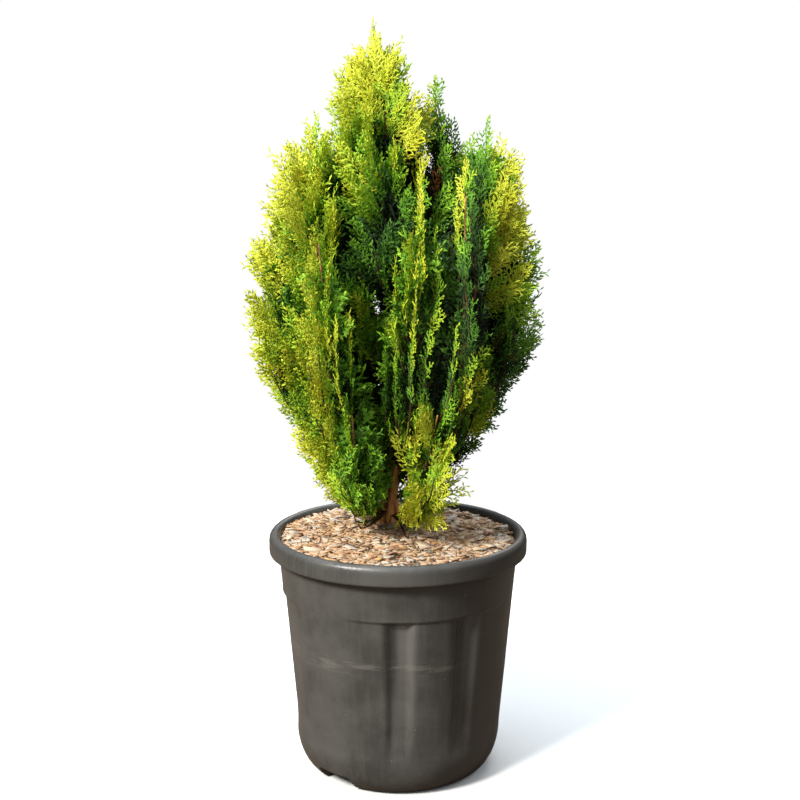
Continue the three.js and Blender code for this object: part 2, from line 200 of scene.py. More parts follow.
@dataclass
class Shell:
    """Points and faces of a surface before they become a Blender mesh.

    Attributes:
        points: Corners, (n, 3), metres.
        faces: Blocks of faces, each (f, 3) or (f, 4) corner numbers.
        tints: Material numbers of the faces, one array for each block; 0 if left out.
        fibre: Places along the grain, (n, 3), for limbs, or None.
        smooth: Whether light runs on smoothly from face to face.
    """

    points: Array
    faces: list[Array]
    tints: list[Array] = field(default_factory=list)
    fibre: Array | None = None
    smooth: bool = True

    def __post_init__(self) -> None:
        """Give every face the first material where no tints are stated."""
        self.tints = self.tints or [np.zeros(len(block)) for block in self.faces]

    @property
    def triangles(self) -> int:
        """How many triangles the faces make."""
        return sum(len(block) * (block.shape[1] - 2) for block in self.faces)

    def placed(self, name: str, finishes: Sequence[Material]) -> Piece:
        """Make the Blender object of this shell, at the origin and unturned.

        Args:
            name: The piece's name.
            finishes: Materials, in the order of the tint numbers.

        Returns:
            The piece.
        """
        corners = np.concatenate([block.ravel() for block in self.faces]).astype(np.int32)
        sizes = np.concatenate([np.full(len(b), b.shape[1]) for b in self.faces])
        starts = np.concatenate([[0], np.cumsum(sizes)[:-1]]).astype(np.int32)
        mesh = bpy.data.meshes.new(name)
        mesh.vertices.add(len(self.points))
        mesh.vertices.foreach_set("co", self.points.astype(np.float32).ravel())
        mesh.loops.add(len(corners))
        mesh.loops.foreach_set("vertex_index", corners)
        mesh.polygons.add(len(sizes))
        mesh.polygons.foreach_set("loop_start", starts)
        tints = np.concatenate(self.tints).astype(np.int32)
        mesh.polygons.foreach_set("material_index", tints)
        mesh.polygons.foreach_set("use_smooth", np.full(len(sizes), self.smooth))
        if self.fibre is not None:
            grain = mesh.attributes.new("fibre", "FLOAT_VECTOR", "POINT")
            grain.data.foreach_set("vector", self.fibre.astype(np.float32).ravel())
        mesh.update(calc_edges=True)
        for finish in finishes:
            mesh.materials.append(finish)
        piece = bpy.data.objects.new(name, mesh)
        bpy.context.scene.collection.objects.link(piece)
        return piece


def joined(shells: Sequence[Shell]) -> Shell:
    """Several shells as one, each with its corner numbers moved past the last one's.

    Args:
        shells: The shells.

    Returns:
        The joint shell.
    """
    offsets = np.cumsum([0] + [len(shell.points) for shell in shells])
    faces = [f + o for shell, o in zip(shells, offsets) for f in shell.faces]
    tints = [tint for shell in shells for tint in shell.tints]
    grained = all(shell.fibre is not None for shell in shells)
    fibre = np.concatenate([shell.fibre for shell in shells]) if grained else None
    points = np.concatenate([shell.points for shell in shells])
    return Shell(points, faces, tints, fibre, all(shell.smooth for shell in shells))


def ring_faces(rings: int, sides: int) -> Array:
    """Quads between neighbouring closed rings of points.

    Args:
        rings: How many rings.
        sides: Points of each ring.

    Returns:
        Corner numbers, ((rings - 1) x sides, 4).
    """
    around = np.arange(sides)
    start = np.arange(rings - 1)[:, None] * sides
    low, beside = start + around, start + (around + 1) % sides
    return np.stack([low, beside, beside + sides, low + sides], axis=-1).reshape(-1, 4)


def capped_faces(rings: int, sides: int) -> list[Array]:
    """Faces of closed rings, with a fan of triangles over the first and the last ring.

    The fans meet in the two points that follow the rings.

    Args:
        rings: How many rings.
        sides: Points of each ring.

    Returns:
        The quads and the triangles.
    """
    this = np.arange(sides)
    after = (this + 1) % sides
    first, last = rings * sides, (rings - 1) * sides
    foot = np.stack([np.full(sides, first), after, this], axis=-1)
    head = np.stack([np.full(sides, first + 1), last + this, last + after], axis=-1)
    return [ring_faces(rings, sides), np.concatenate([foot, head])]


def tube(path: Array, reach: Array, aside: Array) -> Shell:
    """A closed tube along a path, with its own reach in every direction.

    With h the heading at ring i, f the unit of aside x h and s = h x f, corner j is
    path_i + reach_ij (f cos a_j + s sin a_j).

    Args:
        path: Centres of the rings, (rings, 3).
        reach: Distance of each corner from its ring's centre, (rings, sides).
        aside: A direction that the path never runs along, (3,).

    Returns:
        The tube's shell.
    """
    rings, sides = reach.shape
    heading = unit(np.gradient(path, axis=0))
    first = unit(np.cross(aside, heading))
    second = np.cross(heading, first)
    angle = np.arange(sides) / sides * FULL_TURN
    spoke = first[:, None] * np.cos(angle)[:, None] + second[:, None] * np.sin(angle)[:, None]
    points = (path[:, None] + spoke * reach[..., None]).reshape(-1, 3)
    length = run_along(path)
    girth = reach.mean(axis=1, keepdims=True)
    far = np.repeat(length[:, None], sides, axis=1)
    fibre = np.stack([girth * np.cos(angle), girth * np.sin(angle), far], axis=-1)
    ends = np.array([[0.0, 0.0, 0.0], [0.0, 0.0, length[-1]]])
    fibre = np.concatenate([fibre.reshape(-1, 3), ends])
    points = np.concatenate([points, path[:1], path[-1:]])
    return Shell(points, capped_faces(rings, sides), fibre=fibre)


def triangles_of(node: str) -> Array:
    """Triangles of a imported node.

    Args:
        node: Its name.

    Returns:
        Corner places, (triangles, 3, 3).
    """
    mesh = frame["nodes"][node].data
    points = np.empty(len(mesh.vertices) * 3)
    mesh.vertices.foreach_get("co", points)
    mesh.calc_loop_triangles()
    corners = np.empty(len(mesh.loop_triangles) * 3, dtype=np.int32)
    mesh.loop_triangles.foreach_get("vertices", corners)
    return points.reshape(-1, 3)[corners].reshape(-1, 3, 3)


def middle_line(node: str, heading: Array, stations: int) -> tuple[Array, Array]:
    """Centres and radii of a packed limb, cut by planes square to a heading.

    A plane cuts the triangles' edges in a ring of points, with its centre midway
    between the furthest in two directions and a radius of half their mean span.

    Args:
        node: The limb's node.
        heading: Unit vector that the cutting planes are square to.
        stations: How many planes.

    Returns:
        Centres, (stations, 3), and radii, (stations,).
    """
    corners = triangles_of(node)
    ends = corners[:, [[0, 1], [1, 2], [2, 0]]].reshape(-1, 2, 3)
    heights = ends @ heading
    low, high = heights.min(), heights.max()
    level = np.linspace(low, high, stations + 2)[1:-1]
    first = unit(np.cross(heading, ASKEW))
    axes = np.stack([first, np.cross(heading, first), heading])
    centres, radii = [], []
    for height in level:
        cut = (heights[:, 0] - height) * (heights[:, 1] - height) < 0.0
        share = (height - heights[cut, 0]) / (heights[cut, 1] - heights[cut, 0])
        ring = (mix(ends[cut, 0], ends[cut, 1], share[:, None])) @ axes.T
        span = np.ptp(ring, axis=0)
        centres.append((ring.min(axis=0) + span / 2.0) @ axes)
        radii.append(span[:2].mean() / 2.0)
    return np.array(centres), np.array(radii)


# ---- finishes


class Sketch:
    """Short words for laying out the nodes of a material, a world or a node group."""

    def __init__(self, tree: bpy.types.NodeTree) -> None:
        """Keep the tree that the nodes go into."""
        self.tree = tree

    def feed(self, socket: Socket, value: object) -> None:
        """Link an output to a socket, or set the socket's own value."""
        if isinstance(value, Socket):
            self.tree.links.new(value, socket)
        elif socket.type == "RGBA":
            socket.default_value = (*value, 1.0)
        else:
            socket.default_value = value

    def node(self, kind: str, **values: object) -> bpy.types.Node:
        """Add a node and set its sockets and properties.

        Args:
            kind: Blender's type name of the node.
            **values: Values or outputs by socket name, with _ for a space, or node
                properties.

        Returns:
            The new node.
        """
        made = self.tree.nodes.new(kind)
        for name, value in values.items():
            socket = made.inputs.get(name.replace("_", " "))
            if socket is None:
                setattr(made, name, value)
            else:
                self.feed(socket, value)
        return made

    def through(self, made: bpy.types.Node, *values: object) -> Socket:
        """Feed a node's first sockets in order and return its first output."""
        for socket, value in zip(made.inputs, values):
            self.feed(socket, value)
        return made.outputs[0]

    def math(self, operation: str, first: object, second: object = 0.0) -> Socket:
        """Result of a Math node."""
        return self.through(self.node("ShaderNodeMath", operation=operation), first, second)

    def times(self, first: object, second: object) -> Socket:
        """Product of two numbers."""
        return self.math("MULTIPLY", first, second)

    def scaled(self, place: object, factors: object) -> Socket:
        """Places multiplied axis by axis, which draws a pattern out or flattens it."""
        made = self.node("ShaderNodeVectorMath", operation="MULTIPLY")
        return self.through(made, place, factors)

    def blend(self, share: object, first: object, second: object) -> Socket:
        """Mix two colours.

        Args:
            share: Share of the way to the second.
            first: One colour.
            second: The other.

        Returns:
            The mixed colour.
        """
        made = self.node("ShaderNodeMix", data_type="RGBA")
        for index, value in ((0, share), (6, first), (7, second)):
            self.feed(made.inputs[index], value)
        return made.outputs[2]

    def slope(self, value: object, start: object, end: object) -> Socket:
        """Mask that goes smoothly from nothing at one value to one at another."""
        rise = self.node(
            "ShaderNodeMapRange",
            Value=value,
            From_Min=start,
            From_Max=end,
            interpolation_type="SMOOTHSTEP",
        )
        return rise.outputs["Result"]

    def band(self, value: object, middle: float, reach: float) -> Socket:
        """Mask of a band: one near a middle value, fading to nothing at its reach."""
        off = self.math("ABSOLUTE", self.math("SUBTRACT", value, middle))
        return self.slope(off, reach, reach / 3.0)

    def bump(
        self, shader: bpy.types.Node, height: object, strength: float, distance: float
    ) -> None:
        """Let a pattern of heights tilt the light on a shader's surface."""
        made = self.node("ShaderNodeBump", Strength=strength, Distance=distance, Height=height)
        self.feed(shader.inputs["Normal"], made.outputs["Normal"])

    def patches(self, place: object, scale: float, low: float, high: float) -> Socket:
        """Mask of soft patches at a scale, cut between two levels of the noise."""
        made = self.node("ShaderNodeGroup", node_tree=bpy.data.node_groups["mottling"])
        return self.through(made, place, scale, low, high)

    def fibres(self, place: object, squeeze: Triple, scale: float) -> Sequence[Socket]:
        """Heights of the fine fibres and of the wider strands along a grain."""
        made = self.node("ShaderNodeGroup", node_tree=bpy.data.node_groups["long_grain"])
        return self.through(made, place, squeeze, scale).node.outputs

    def by_ray(self, unseen: object, seen: object, sink: str) -> None:
        """Show one shader to the camera's own rays and the other to the light.

        Args:
            unseen: Output of the shader that lights the scene.
            seen: Output of the shader that the camera sees.
            sink: Name of the tree's output node.
        """
        ray = self.node("ShaderNodeLightPath").outputs["Is Camera Ray"]
        mixed = self.through(self.node("ShaderNodeMixShader"), ray, unseen, seen)
        self.feed(self.tree.nodes[sink].inputs["Surface"], mixed)


NUMBER, PLACE = "NodeSocketFloat", "NodeSocketVector"


def new_group(name: str, takes: dict[str, str], gives: dict[str, str]) -> tuple:
    """Start a shader node group.

    Args:
        name: The group's name.
        takes: Input names and socket types.
        gives: Output names and socket types.

    Returns:
        A sketch of the group, its inputs and its outputs as sockets.
    """
    group = bpy.data.node_groups.new(name, "ShaderNodeTree")
    for way, sockets in (("INPUT", takes), ("OUTPUT", gives)):
        for label, kind in sockets.items():
            group.interface.new_socket(label, in_out=way, socket_type=kind)
    sketch = Sketch(group)
    source, sink = sketch.node("NodeGroupInput"), sketch.node("NodeGroupOutput")
    return sketch, source.outputs, sink.inputs


def make_mottling() -> None:
    """Make the group that gives soft patches: noise at a scale, cut between two levels."""
    takes = {"Vector": PLACE, "Scale": NUMBER, "Low": NUMBER, "High": NUMBER}
    sketch, given, wanted = new_group("mottling", takes, {"Mask": NUMBER})
    noise = sketch.node(
        "ShaderNodeTexNoise",
        Vector=given["Vector"],
        Scale=given["Scale"],
        Detail=5.0,
        Roughness=0.62,
    )
    mask = sketch.slope(noise.outputs["Fac"], given["Low"], given["High"])
    sketch.feed(wanted["Mask"], mask)


def make_long_grain() -> None:
    """Make the group that gives long fibres: noise on places squeezed along the grain."""
    takes = {"Vector": PLACE, "Squeeze": PLACE, "Scale": NUMBER}
    gives = {"Fibre": NUMBER, "Strand": NUMBER}
    sketch, given, wanted = new_group("long_grain", takes, gives)
    squeezed = sketch.scaled(given["Vector"], given["Squeeze"])
    wide = sketch.times(given["Scale"], 0.32)
    for output, scale, detail in (("Fibre", given["Scale"], 4.0), ("Strand", wide, 2.0)):
        noise = sketch.node("ShaderNodeTexNoise", Vector=squeezed, Scale=scale, Detail=detail)
        sketch.feed(wanted[output], noise.outputs["Fac"])


def new_finish(
    name: str, roughness: float, specular: float
) -> tuple[Material, Sketch, bpy.types.Node]:
    """Start a material.

    Args:
        name: Its name.
        roughness: How matt it is.
        specular: How much it mirrors head on.

    Returns:
        The material, a sketch of its nodes and its Principled shader.
    """
    finish = bpy.data.materials.new(name)
    finish.use_nodes = True
    shader = finish.node_tree.nodes["Principled BSDF"]
    shader.inputs["Roughness"].default_value = roughness
    shader.inputs["Specular IOR Level"].default_value = specular
    return finish, Sketch(finish.node_tree), shader


@dataclass(frozen=True)
class PlainTint:
    """One plain colour of leaf, twig or chip."""

    name: str
    colour: Colour
    roughness: float = 0.55
    specular: float = 0.35

    def made(self) -> Material:
        """Make the material of this tint.

        Returns:
            The material.
        """
        finish, sketch, shader = new_finish(self.name, self.roughness, self.specular)
        sketch.feed(shader.inputs["Base Color"], self.colour)
        return finish


@dataclass(frozen=True)
class PotPlastic:
    """Black moulded plastic with a satin skin, some dust and faint rubbed bands, its right side
    darkened with painted shade.

    A pattern is the scale and two levels of its noise. Pale streaks of painted highlight and
    dark streaks of painted shade have an azimuth, a reach and an amount, and heights
    between which they fade in.
    """

    black: Colour = (0.044, 0.0430, 0.0410)
    faded: Colour = (0.075, 0.0730, 0.0695)
    dust: Colour = (0.20, 0.17, 0.13)
    scuff: Colour = (0.135, 0.128, 0.117)
    # Painted highlight: pale colour of upright streaks that stand for reflections along the
    # flutes.
    polish: Colour = (0.150, 0.146, 0.138)
    # Painted shade: dark colour of upright streaks on flute flanks that face away from the light.
    grime: Colour = (0.016, 0.0150, 0.0135)
    # Painted shade: colour towards which the pot's right side is darkened.
    unbleached: Colour = (0.017, 0.0140, 0.0112)
    cloud: Triple = (14.0, 0.35, 0.68)
    streaks: Triple = (130.0, 0.42, 0.70)
    bands: Triple = (19.0, 0.50, 0.62)
    specks: Triple = (210.0, 0.66, 0.74)
    pebble: Triple = (420.0, 0.30, 0.70)
    streak_stretch: float = 0.05
    band_stretch: float = 9.0
    rub_height: float = 0.178
    rub_reach: float = 0.013
    # Across x, from the full painted side shade on the right to none on the lit left.
    bleach_reach: Span = (0.105, 0.020)
    # Painted highlight streaks and painted shade streaks: azimuth, reach and amount of each.
    polished: tuple[Triple, ...] = ((4.5, 7.0, 0.50), (40.0, 6.0, 0.24))
    grimy: tuple[Triple, ...] = ((-4.0, 5.5, 0.55), (30.0, 7.0, 0.70))
    polish_rise: Span = (0.045, 0.215)
    grime_rise: Span = (0.115, 0.235)
    # Heights over which the painted streaks end under the ledge.
    ledge_shade: Span = (0.243, 0.238)
    sheen: Span = (0.28, 0.42)

    def made(self) -> Material:
        """The pot's material.

        Returns:
            The material.
        """
        finish, sketch, shader = new_finish("black_pot_plastic", 0.34, 0.42)
        place = sketch.node("ShaderNodeTexCoord").outputs["Object"]
        x, y, height = sketch.node("ShaderNodeSeparateXYZ", Vector=place).outputs
        upright = sketch.scaled(place, (1.0, 1.0, self.streak_stretch))
        level = sketch.scaled(place, (1.0, 1.0, self.band_stretch))
        cloud = sketch.patches(place, *self.cloud)
        tint = sketch.blend(cloud, self.black, self.faded)
        streaks = sketch.times(sketch.patches(upright, *self.streaks), 0.55)
        tint = sketch.blend(streaks, tint, self.faded)
        # Painted shade: the side away from the key light, on the right, is darkened towards a
        # shade colour.
        sunny = sketch.slope(x, *self.bleach_reach)
        side_shade = sketch.times(sketch.math("SUBTRACT", 1.0, sunny), 0.62)
        tint = sketch.blend(side_shade, tint, self.unbleached)
        turn = sketch.math("ARCTAN2", x, sketch.times(y, -1.0))
        azimuth = sketch.times(turn, 180.0 / math.pi)
        below = sketch.slope(height, *self.ledge_shade)
        # Painted shade and painted highlight: dark and pale upright streaks on the flutes, below
        # the ledge.
        for spots, rise, colour in (
            (self.grimy, self.grime_rise, self.grime),
            (self.polished, self.polish_rise, self.polish),
        ):
            high = sketch.times(sketch.slope(height, *rise), below)
            for middle, reach, amount in spots:
                mask = sketch.times(sketch.band(azimuth, middle, reach), high)
                tint = sketch.blend(sketch.times(mask, amount), tint, colour)
        near = sketch.band(height, self.rub_height, self.rub_reach)
        worn = sketch.times(sketch.patches(level, *self.bands), near)
        # The scuffs are kept to the lit side and fade out under the painted side shade.
        worn = sketch.times(sketch.times(worn, sunny), 0.6)
        tint = sketch.blend(worn, tint, self.scuff)
        specks = sketch.times(sketch.patches(place, *self.specks), 0.7)
        tint = sketch.blend(specks, tint, self.dust)
        sketch.feed(shader.inputs["Base Color"], tint)
        least, most = self.sheen
        spread = sketch.node("ShaderNodeMapRange", Value=cloud, To_Min=least, To_Max=most)
        sketch.feed(shader.inputs["Roughness"], spread.outputs["Result"])
        sketch.bump(shader, sketch.patches(place, *self.pebble), 0.16, 0.0006)
        return finish


@dataclass(frozen=True)
class FibrousBark:
    """Red-brown bark that peels in long thin strips, with weathered patches."""

    name: str
    groove: Colour
    strip: Colour
    weathered: Colour
    squeeze: Triple = (1.0, 1.0, 0.07)
    grain: float = 620.0
    strip_levels: Span = (0.36, 0.62)
    patches: Triple = (60.0, 0.5, 0.7)

    def made(self) -> Material:
        """The bark's material, its grain along the stored fibre places.

        Returns:
            The material.
        """
        finish, sketch, shader = new_finish(self.name, 0.88, 0.2)
        along = sketch.node("ShaderNodeAttribute", attribute_name="fibre").outputs["Vector"]
        fibre, strand = sketch.fibres(along, self.squeeze, self.grain)
        strips = sketch.slope(strand, *self.strip_levels)
        tint = sketch.blend(strips, self.groove, self.strip)
        tint = sketch.blend(sketch.patches(along, *self.patches), tint, self.weathered)
        tint = sketch.blend(sketch.times(fibre, 0.5), tint, self.groove)
        sketch.feed(shader.inputs["Base Color"], tint)
        sketch.bump(shader, fibre, 0.6, 0.0012)
        return finish


@dataclass(frozen=True)
class MulchBed:
    """Crumbled mulch and soil between the chips: brown lumps, pale crumbs and litter."""

    dark: Colour = linear(146, 116, 88)
    brown: Colour = linear(180, 147, 113)
    pale: Colour = linear(200, 170, 134)
    lumps: Triple = (95.0, 0.38, 0.60)
    crumbs: Triple = (330.0, 0.50, 0.66)
    squeeze: Triple = (1.0, 0.5, 1.0)
    litter: float = 260.0

    def made(self) -> Material:
        """The mulch bed's material.

        Returns:
            The material.
        """
        finish, sketch, shader = new_finish("mulch_bed", 0.95, 0.15)
        place = sketch.node("ShaderNodeTexCoord").outputs["Object"]
        lumps = sketch.patches(place, *self.lumps)
        tint = sketch.blend(lumps, self.dark, self.brown)
        tint = sketch.blend(sketch.patches(place, *self.crumbs), tint, self.pale)
        sketch.feed(shader.inputs["Base Color"], tint)
        fibre, _ = sketch.fibres(place, self.squeeze, self.litter)
        sketch.bump(shader, fibre, 0.8, 0.002)
        return finish


class Tone(IntEnum):
    """Leaf colours, from the shaded inside of the crown to the golden tips."""

    colour: Colour

    def __new__(cls, *display: int) -> "Tone":
        """Number the tones from 0 as they come.

        Args:
            *display: Red, green and blue of 0 to 255.

        Returns:
            The tone, with its colour as linear light.
        """
        tone = int.__new__(cls, len(cls.__members__))
        tone._value_ = int(tone)
        tone.colour = linear(*display)
        return tone

    NIGHT = (18, 31, 14)
    DEEP = (29, 50, 21)
    DARK = (43, 71, 27)
    MOSS = (60, 100, 33)
    GRASS = (82, 129, 36)
    FRESH = (107, 155, 39)
    LIME = (134, 176, 43)
    YELLOW = (158, 187, 47)
    GOLD = (174, 189, 45)
    PALE = (192, 199, 60)
    AMBER = (183, 184, 45)
    RUSSET = (104, 64, 28)
    STRAW = (126, 108, 56)


class ChipTint(Enum):
    """Colours of the mulch chips, with how often each comes."""

    TAN = (linear(184, 156, 129), 0.26)
    BUFF = (linear(188, 170, 148), 0.13)
    BROWN = (linear(174, 141, 109), 0.24)
    RUST = (linear(164, 124, 98), 0.09)
    UMBER = (linear(148, 117, 89), 0.11)
    DARK = (linear(118, 94, 73), 0.04)
    GREY = (linear(178, 168, 156), 0.13)
    STRAW = (linear(180, 144, 98), 0.03)


# ---- pot


@dataclass
class NurseryPot:
    """Round nursery pot: rolled rim with a skirt, stepped wall, pressed panels, notches.

    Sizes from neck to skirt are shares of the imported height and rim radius.
    """

    sides: int = 312
    neck: float = 157.6 / 170.0
    ledge: float = 152.6 / 170.0
    ledge_height: float = 241.0 / 318.0
    hip: float = 136.2 / 170.0
    hip_height: float = 58.0 / 318.0
    foot: float = 106.0 / 170.0
    foot_ring: float = 7.0 / 170.0
    floor_height: float = 10.0 / 318.0
    skirt: float = 26.0 / 318.0
    wall: float = 0.0024
    panel_groups: int = 3
    panel_azimuth: float = 18.0
    recess_half: float = 25.0
    recess_depth: float = 0.0084
    pillar_half: float = 14.0
    pillar_setback: float = 0.0016
    pillar_crest: float = 10.0
    panel_edge: float = 4.4
    shoulder: float = 0.0018
    shoulder_fade: Span = (32.0, 48.0)
    lip: float = 0.0006
    lip_height: float = 0.0042
    panel_fade: Span = (40.0 / 318.0, 92.0 / 318.0)
    notch_azimuth: float = -41.0
    notch_half: float = 0.021
    notch_height: float = 0.020
    notch_edge: float = 0.003
    ledge_slope: float = 0.0016
    warp: float = 0.0005
    fine_step: float = 0.0024
    coarse_step: float = 0.012
    soft_reach: float = 0.008

    def __post_init__(self) -> None:
        """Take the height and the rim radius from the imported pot."""
        low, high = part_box("pot")
        self.height = high.z - low.z
        self.rim = (high.x - low.x) / 2.0

    def wall_radius(self, height: Array) -> Array:
        """Outside radius of the plain wall.

        Below the hip it follows a quarter ellipse from the foot, then two straight
        tapers, one up to the ledge and one up to the neck.

        Args:
            height: Heights above the ground.

        Returns:
            Radii.
        """
        hip, ledge = self.hip_height * self.height, self.ledge_height * self.height
        top = self.height * (1.0 - self.skirt)
        curve = np.sqrt(np.clip(1.0 - (1.0 - height / hip) ** 2, 0.0, 1.0))
        low = mix(self.foot, self.hip, np.where(height < hip, curve, 1.0))
        middle = mix(self.hip, self.ledge, np.clip((height - hip) / (ledge - hip), 0, 1))
        high = mix(self.ledge, self.neck, np.clip((height - ledge) / (top - ledge), 0, 1))
        share = np.where(height < hip, low, np.where(height < ledge, middle, high))
        return share * self.rim

    def pressed(self, azimuth: Array, height: Array) -> Array:
        """Depth of the pressed panels: a recess less the pillar that stands in it.

        Over each panel the ledge swells out to a low rounded lip.

        Args:
            azimuth: Degrees from the front.
            height: Heights above the ground.

        Returns:
            Depths.
        """
        period = 360.0 / self.panel_groups
        turn = azimuth - self.panel_azimuth
        around = np.abs(turn - period * np.round(turn / period))
        inside = 1.0 - smooth_step(self.recess_half - self.panel_edge, self.recess_half, around)
        on_pillar = 1.0 - smooth_step(self.pillar_crest, self.pillar_half, around)
        near = 1.0 - smooth_step(*self.shoulder_fade, around)
        shoulder = self.shoulder * near
        across = shoulder + (self.recess_depth - shoulder) * inside
        across = across - (self.recess_depth - self.pillar_setback) * on_pillar
        low, high = (share * self.height for share in self.panel_fade)
        upright = smooth_step(low, high, height)
        ledge = self.ledge_height * self.height
        off = (height - ledge) / self.lip_height
        lip = self.lip * np.where(off > 0.0, np.exp(-off * off), 0.0)
        below = 1.0 - smooth_step(ledge - self.ledge_slope, ledge, height)
        return across * upright * below - lip * near

    def profile(self) -> Array:
        """The wall's section from under the floor to inside, in steps, corners rounded.

        Returns:
            Radius and height pairs, (n, 2).
        """
        top, rim, thick = self.height, self.rim, self.wall
        skirt_foot = top * (1.0 - self.skirt)
        neck = self.neck * rim
        under = (self.foot - self.foot_ring) * rim
        floor = self.floor_height * top
        hip, ledge = self.hip_height * top, self.ledge_height * top
        quarter = np.linspace(0.06, 1.0, 20) * math.pi / 2.0
        curve = hip * (1.0 - np.cos(quarter))
        rising = np.concatenate([curve, [ledge - 0.0018, ledge - 0.0004, ledge + 0.0004]])
        outside = np.stack([self.wall_radius(rising), rising], axis=-1)
        falling = np.array([ledge, hip * 1.5, hip, hip / 2.0])
        inside = np.stack([self.wall_radius(falling) - thick, falling], axis=-1)
        base = [[0.0006, floor], [under - 0.006, floor], [under, 0.0], [self.foot * rim, 0.0]]
        skirt = [
            [neck, skirt_foot],
            [neck + 0.0050, top - 0.0070],
            [rim - 0.0036, top - 0.0090],
            [rim - 0.0022, skirt_foot + 0.0004],
            [rim - 0.0011, skirt_foot - 0.0001],
            [rim, skirt_foot + 0.0004],
            [rim, top - 0.0085],
        ]
        roll = [
            [rim - 0.0012, top - 0.0042],
            [rim - 0.0040, top - 0.0014],
            [rim - 0.0078, top],
            [rim - 0.0108, top - 0.0010],
            [neck - thick + 0.0014, top - 0.0052],
            [neck - thick - 0.0003, top - 0.0130],
        ]
        bottom = [[under, floor + thick], [0.0006, floor + thick]]
        corners = np.concatenate([base, outside, skirt, roll, inside, bottom])
        run = np.linalg.norm(np.diff(corners, axis=0), axis=1)
        hidden = (corners[:-1, 0] < under) | (np.arange(len(run)) > len(run) - 7)
        step = np.where(hidden, self.coarse_step, self.fine_step)
        parts = [
            mix(corners[i], corners[i + 1], (np.arange(n) / n)[:, None])
            for i, n in enumerate(np.maximum(1, np.round(run / step)).astype(int))
        ]
        line = np.concatenate([*parts, corners[-1:]])
        near = np.linalg.norm(line[2:] - line[:-2], axis=1, keepdims=True) < self.soft_reach
        line[1:-1] = np.where(near, smoothed(line, 1)[1:-1], line[1:-1])
        return line

    def shell(self) -> Shell:
        """The whole pot: its section turned round the axis and closed at both poles.

        The pressed panels draw the wall towards the axis, and the drain notches lift the
        foot to the height of an arch.

        Returns:
            The pot's shell.
        """
        line = self.profile()
        azimuth = (np.arange(self.sides) / self.sides * 360.0)[None, :]
        radius, height = line[:, :1], line[:, 1:]
        ring = (self.foot - self.foot_ring) * self.rim
        wall = (radius > ring) & (radius < self.rim - 0.009)
        depth = np.where(wall, self.pressed(azimuth, height), 0.0)
        warp = self.warp * np.sin(np.radians(2.0 * azimuth + 40.0)) * height / self.height
        reach = radius - depth + warp
        period = 360.0 / self.panel_groups
        off = azimuth - self.notch_azimuth
        off = np.radians(np.abs(off - period * np.round(off / period))) * self.foot * self.rim
        edge = smooth_step(self.notch_half, self.notch_half + self.notch_edge, off)
        arch = np.where(radius > ring - 0.004, self.notch_height * (1.0 - edge), 0.0)
        lifted = np.maximum(height + 0.0 * azimuth, arch)
        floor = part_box("pot")[0].z
        turn = np.radians(azimuth)
        points = [reach * np.sin(turn), -reach * np.cos(turn), lifted + floor]
        poles = np.array([[0, 0, line[0, 1] + floor], [0, 0, line[-1, 1] + floor]])
        points = np.concatenate([np.stack(points, axis=-1).reshape(-1, 3), poles])
        return Shell(points, capped_faces(len(line), self.sides))

    def dress(self) -> Piece:
        """Build the pot's piece with its finish.

        Returns:
            The piece.
        """
        piece = self.shell().placed("pot_shell", [PotPlastic().made()])
        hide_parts("pot")
        return piece


# ---- mulch


BOX_FACES = np.array(
    [[0, 1, 3, 2], [4, 6, 7, 5], [0, 4, 5, 1], [2, 3, 7, 6], [0, 2, 6, 4], [1, 5, 7, 3]]
)


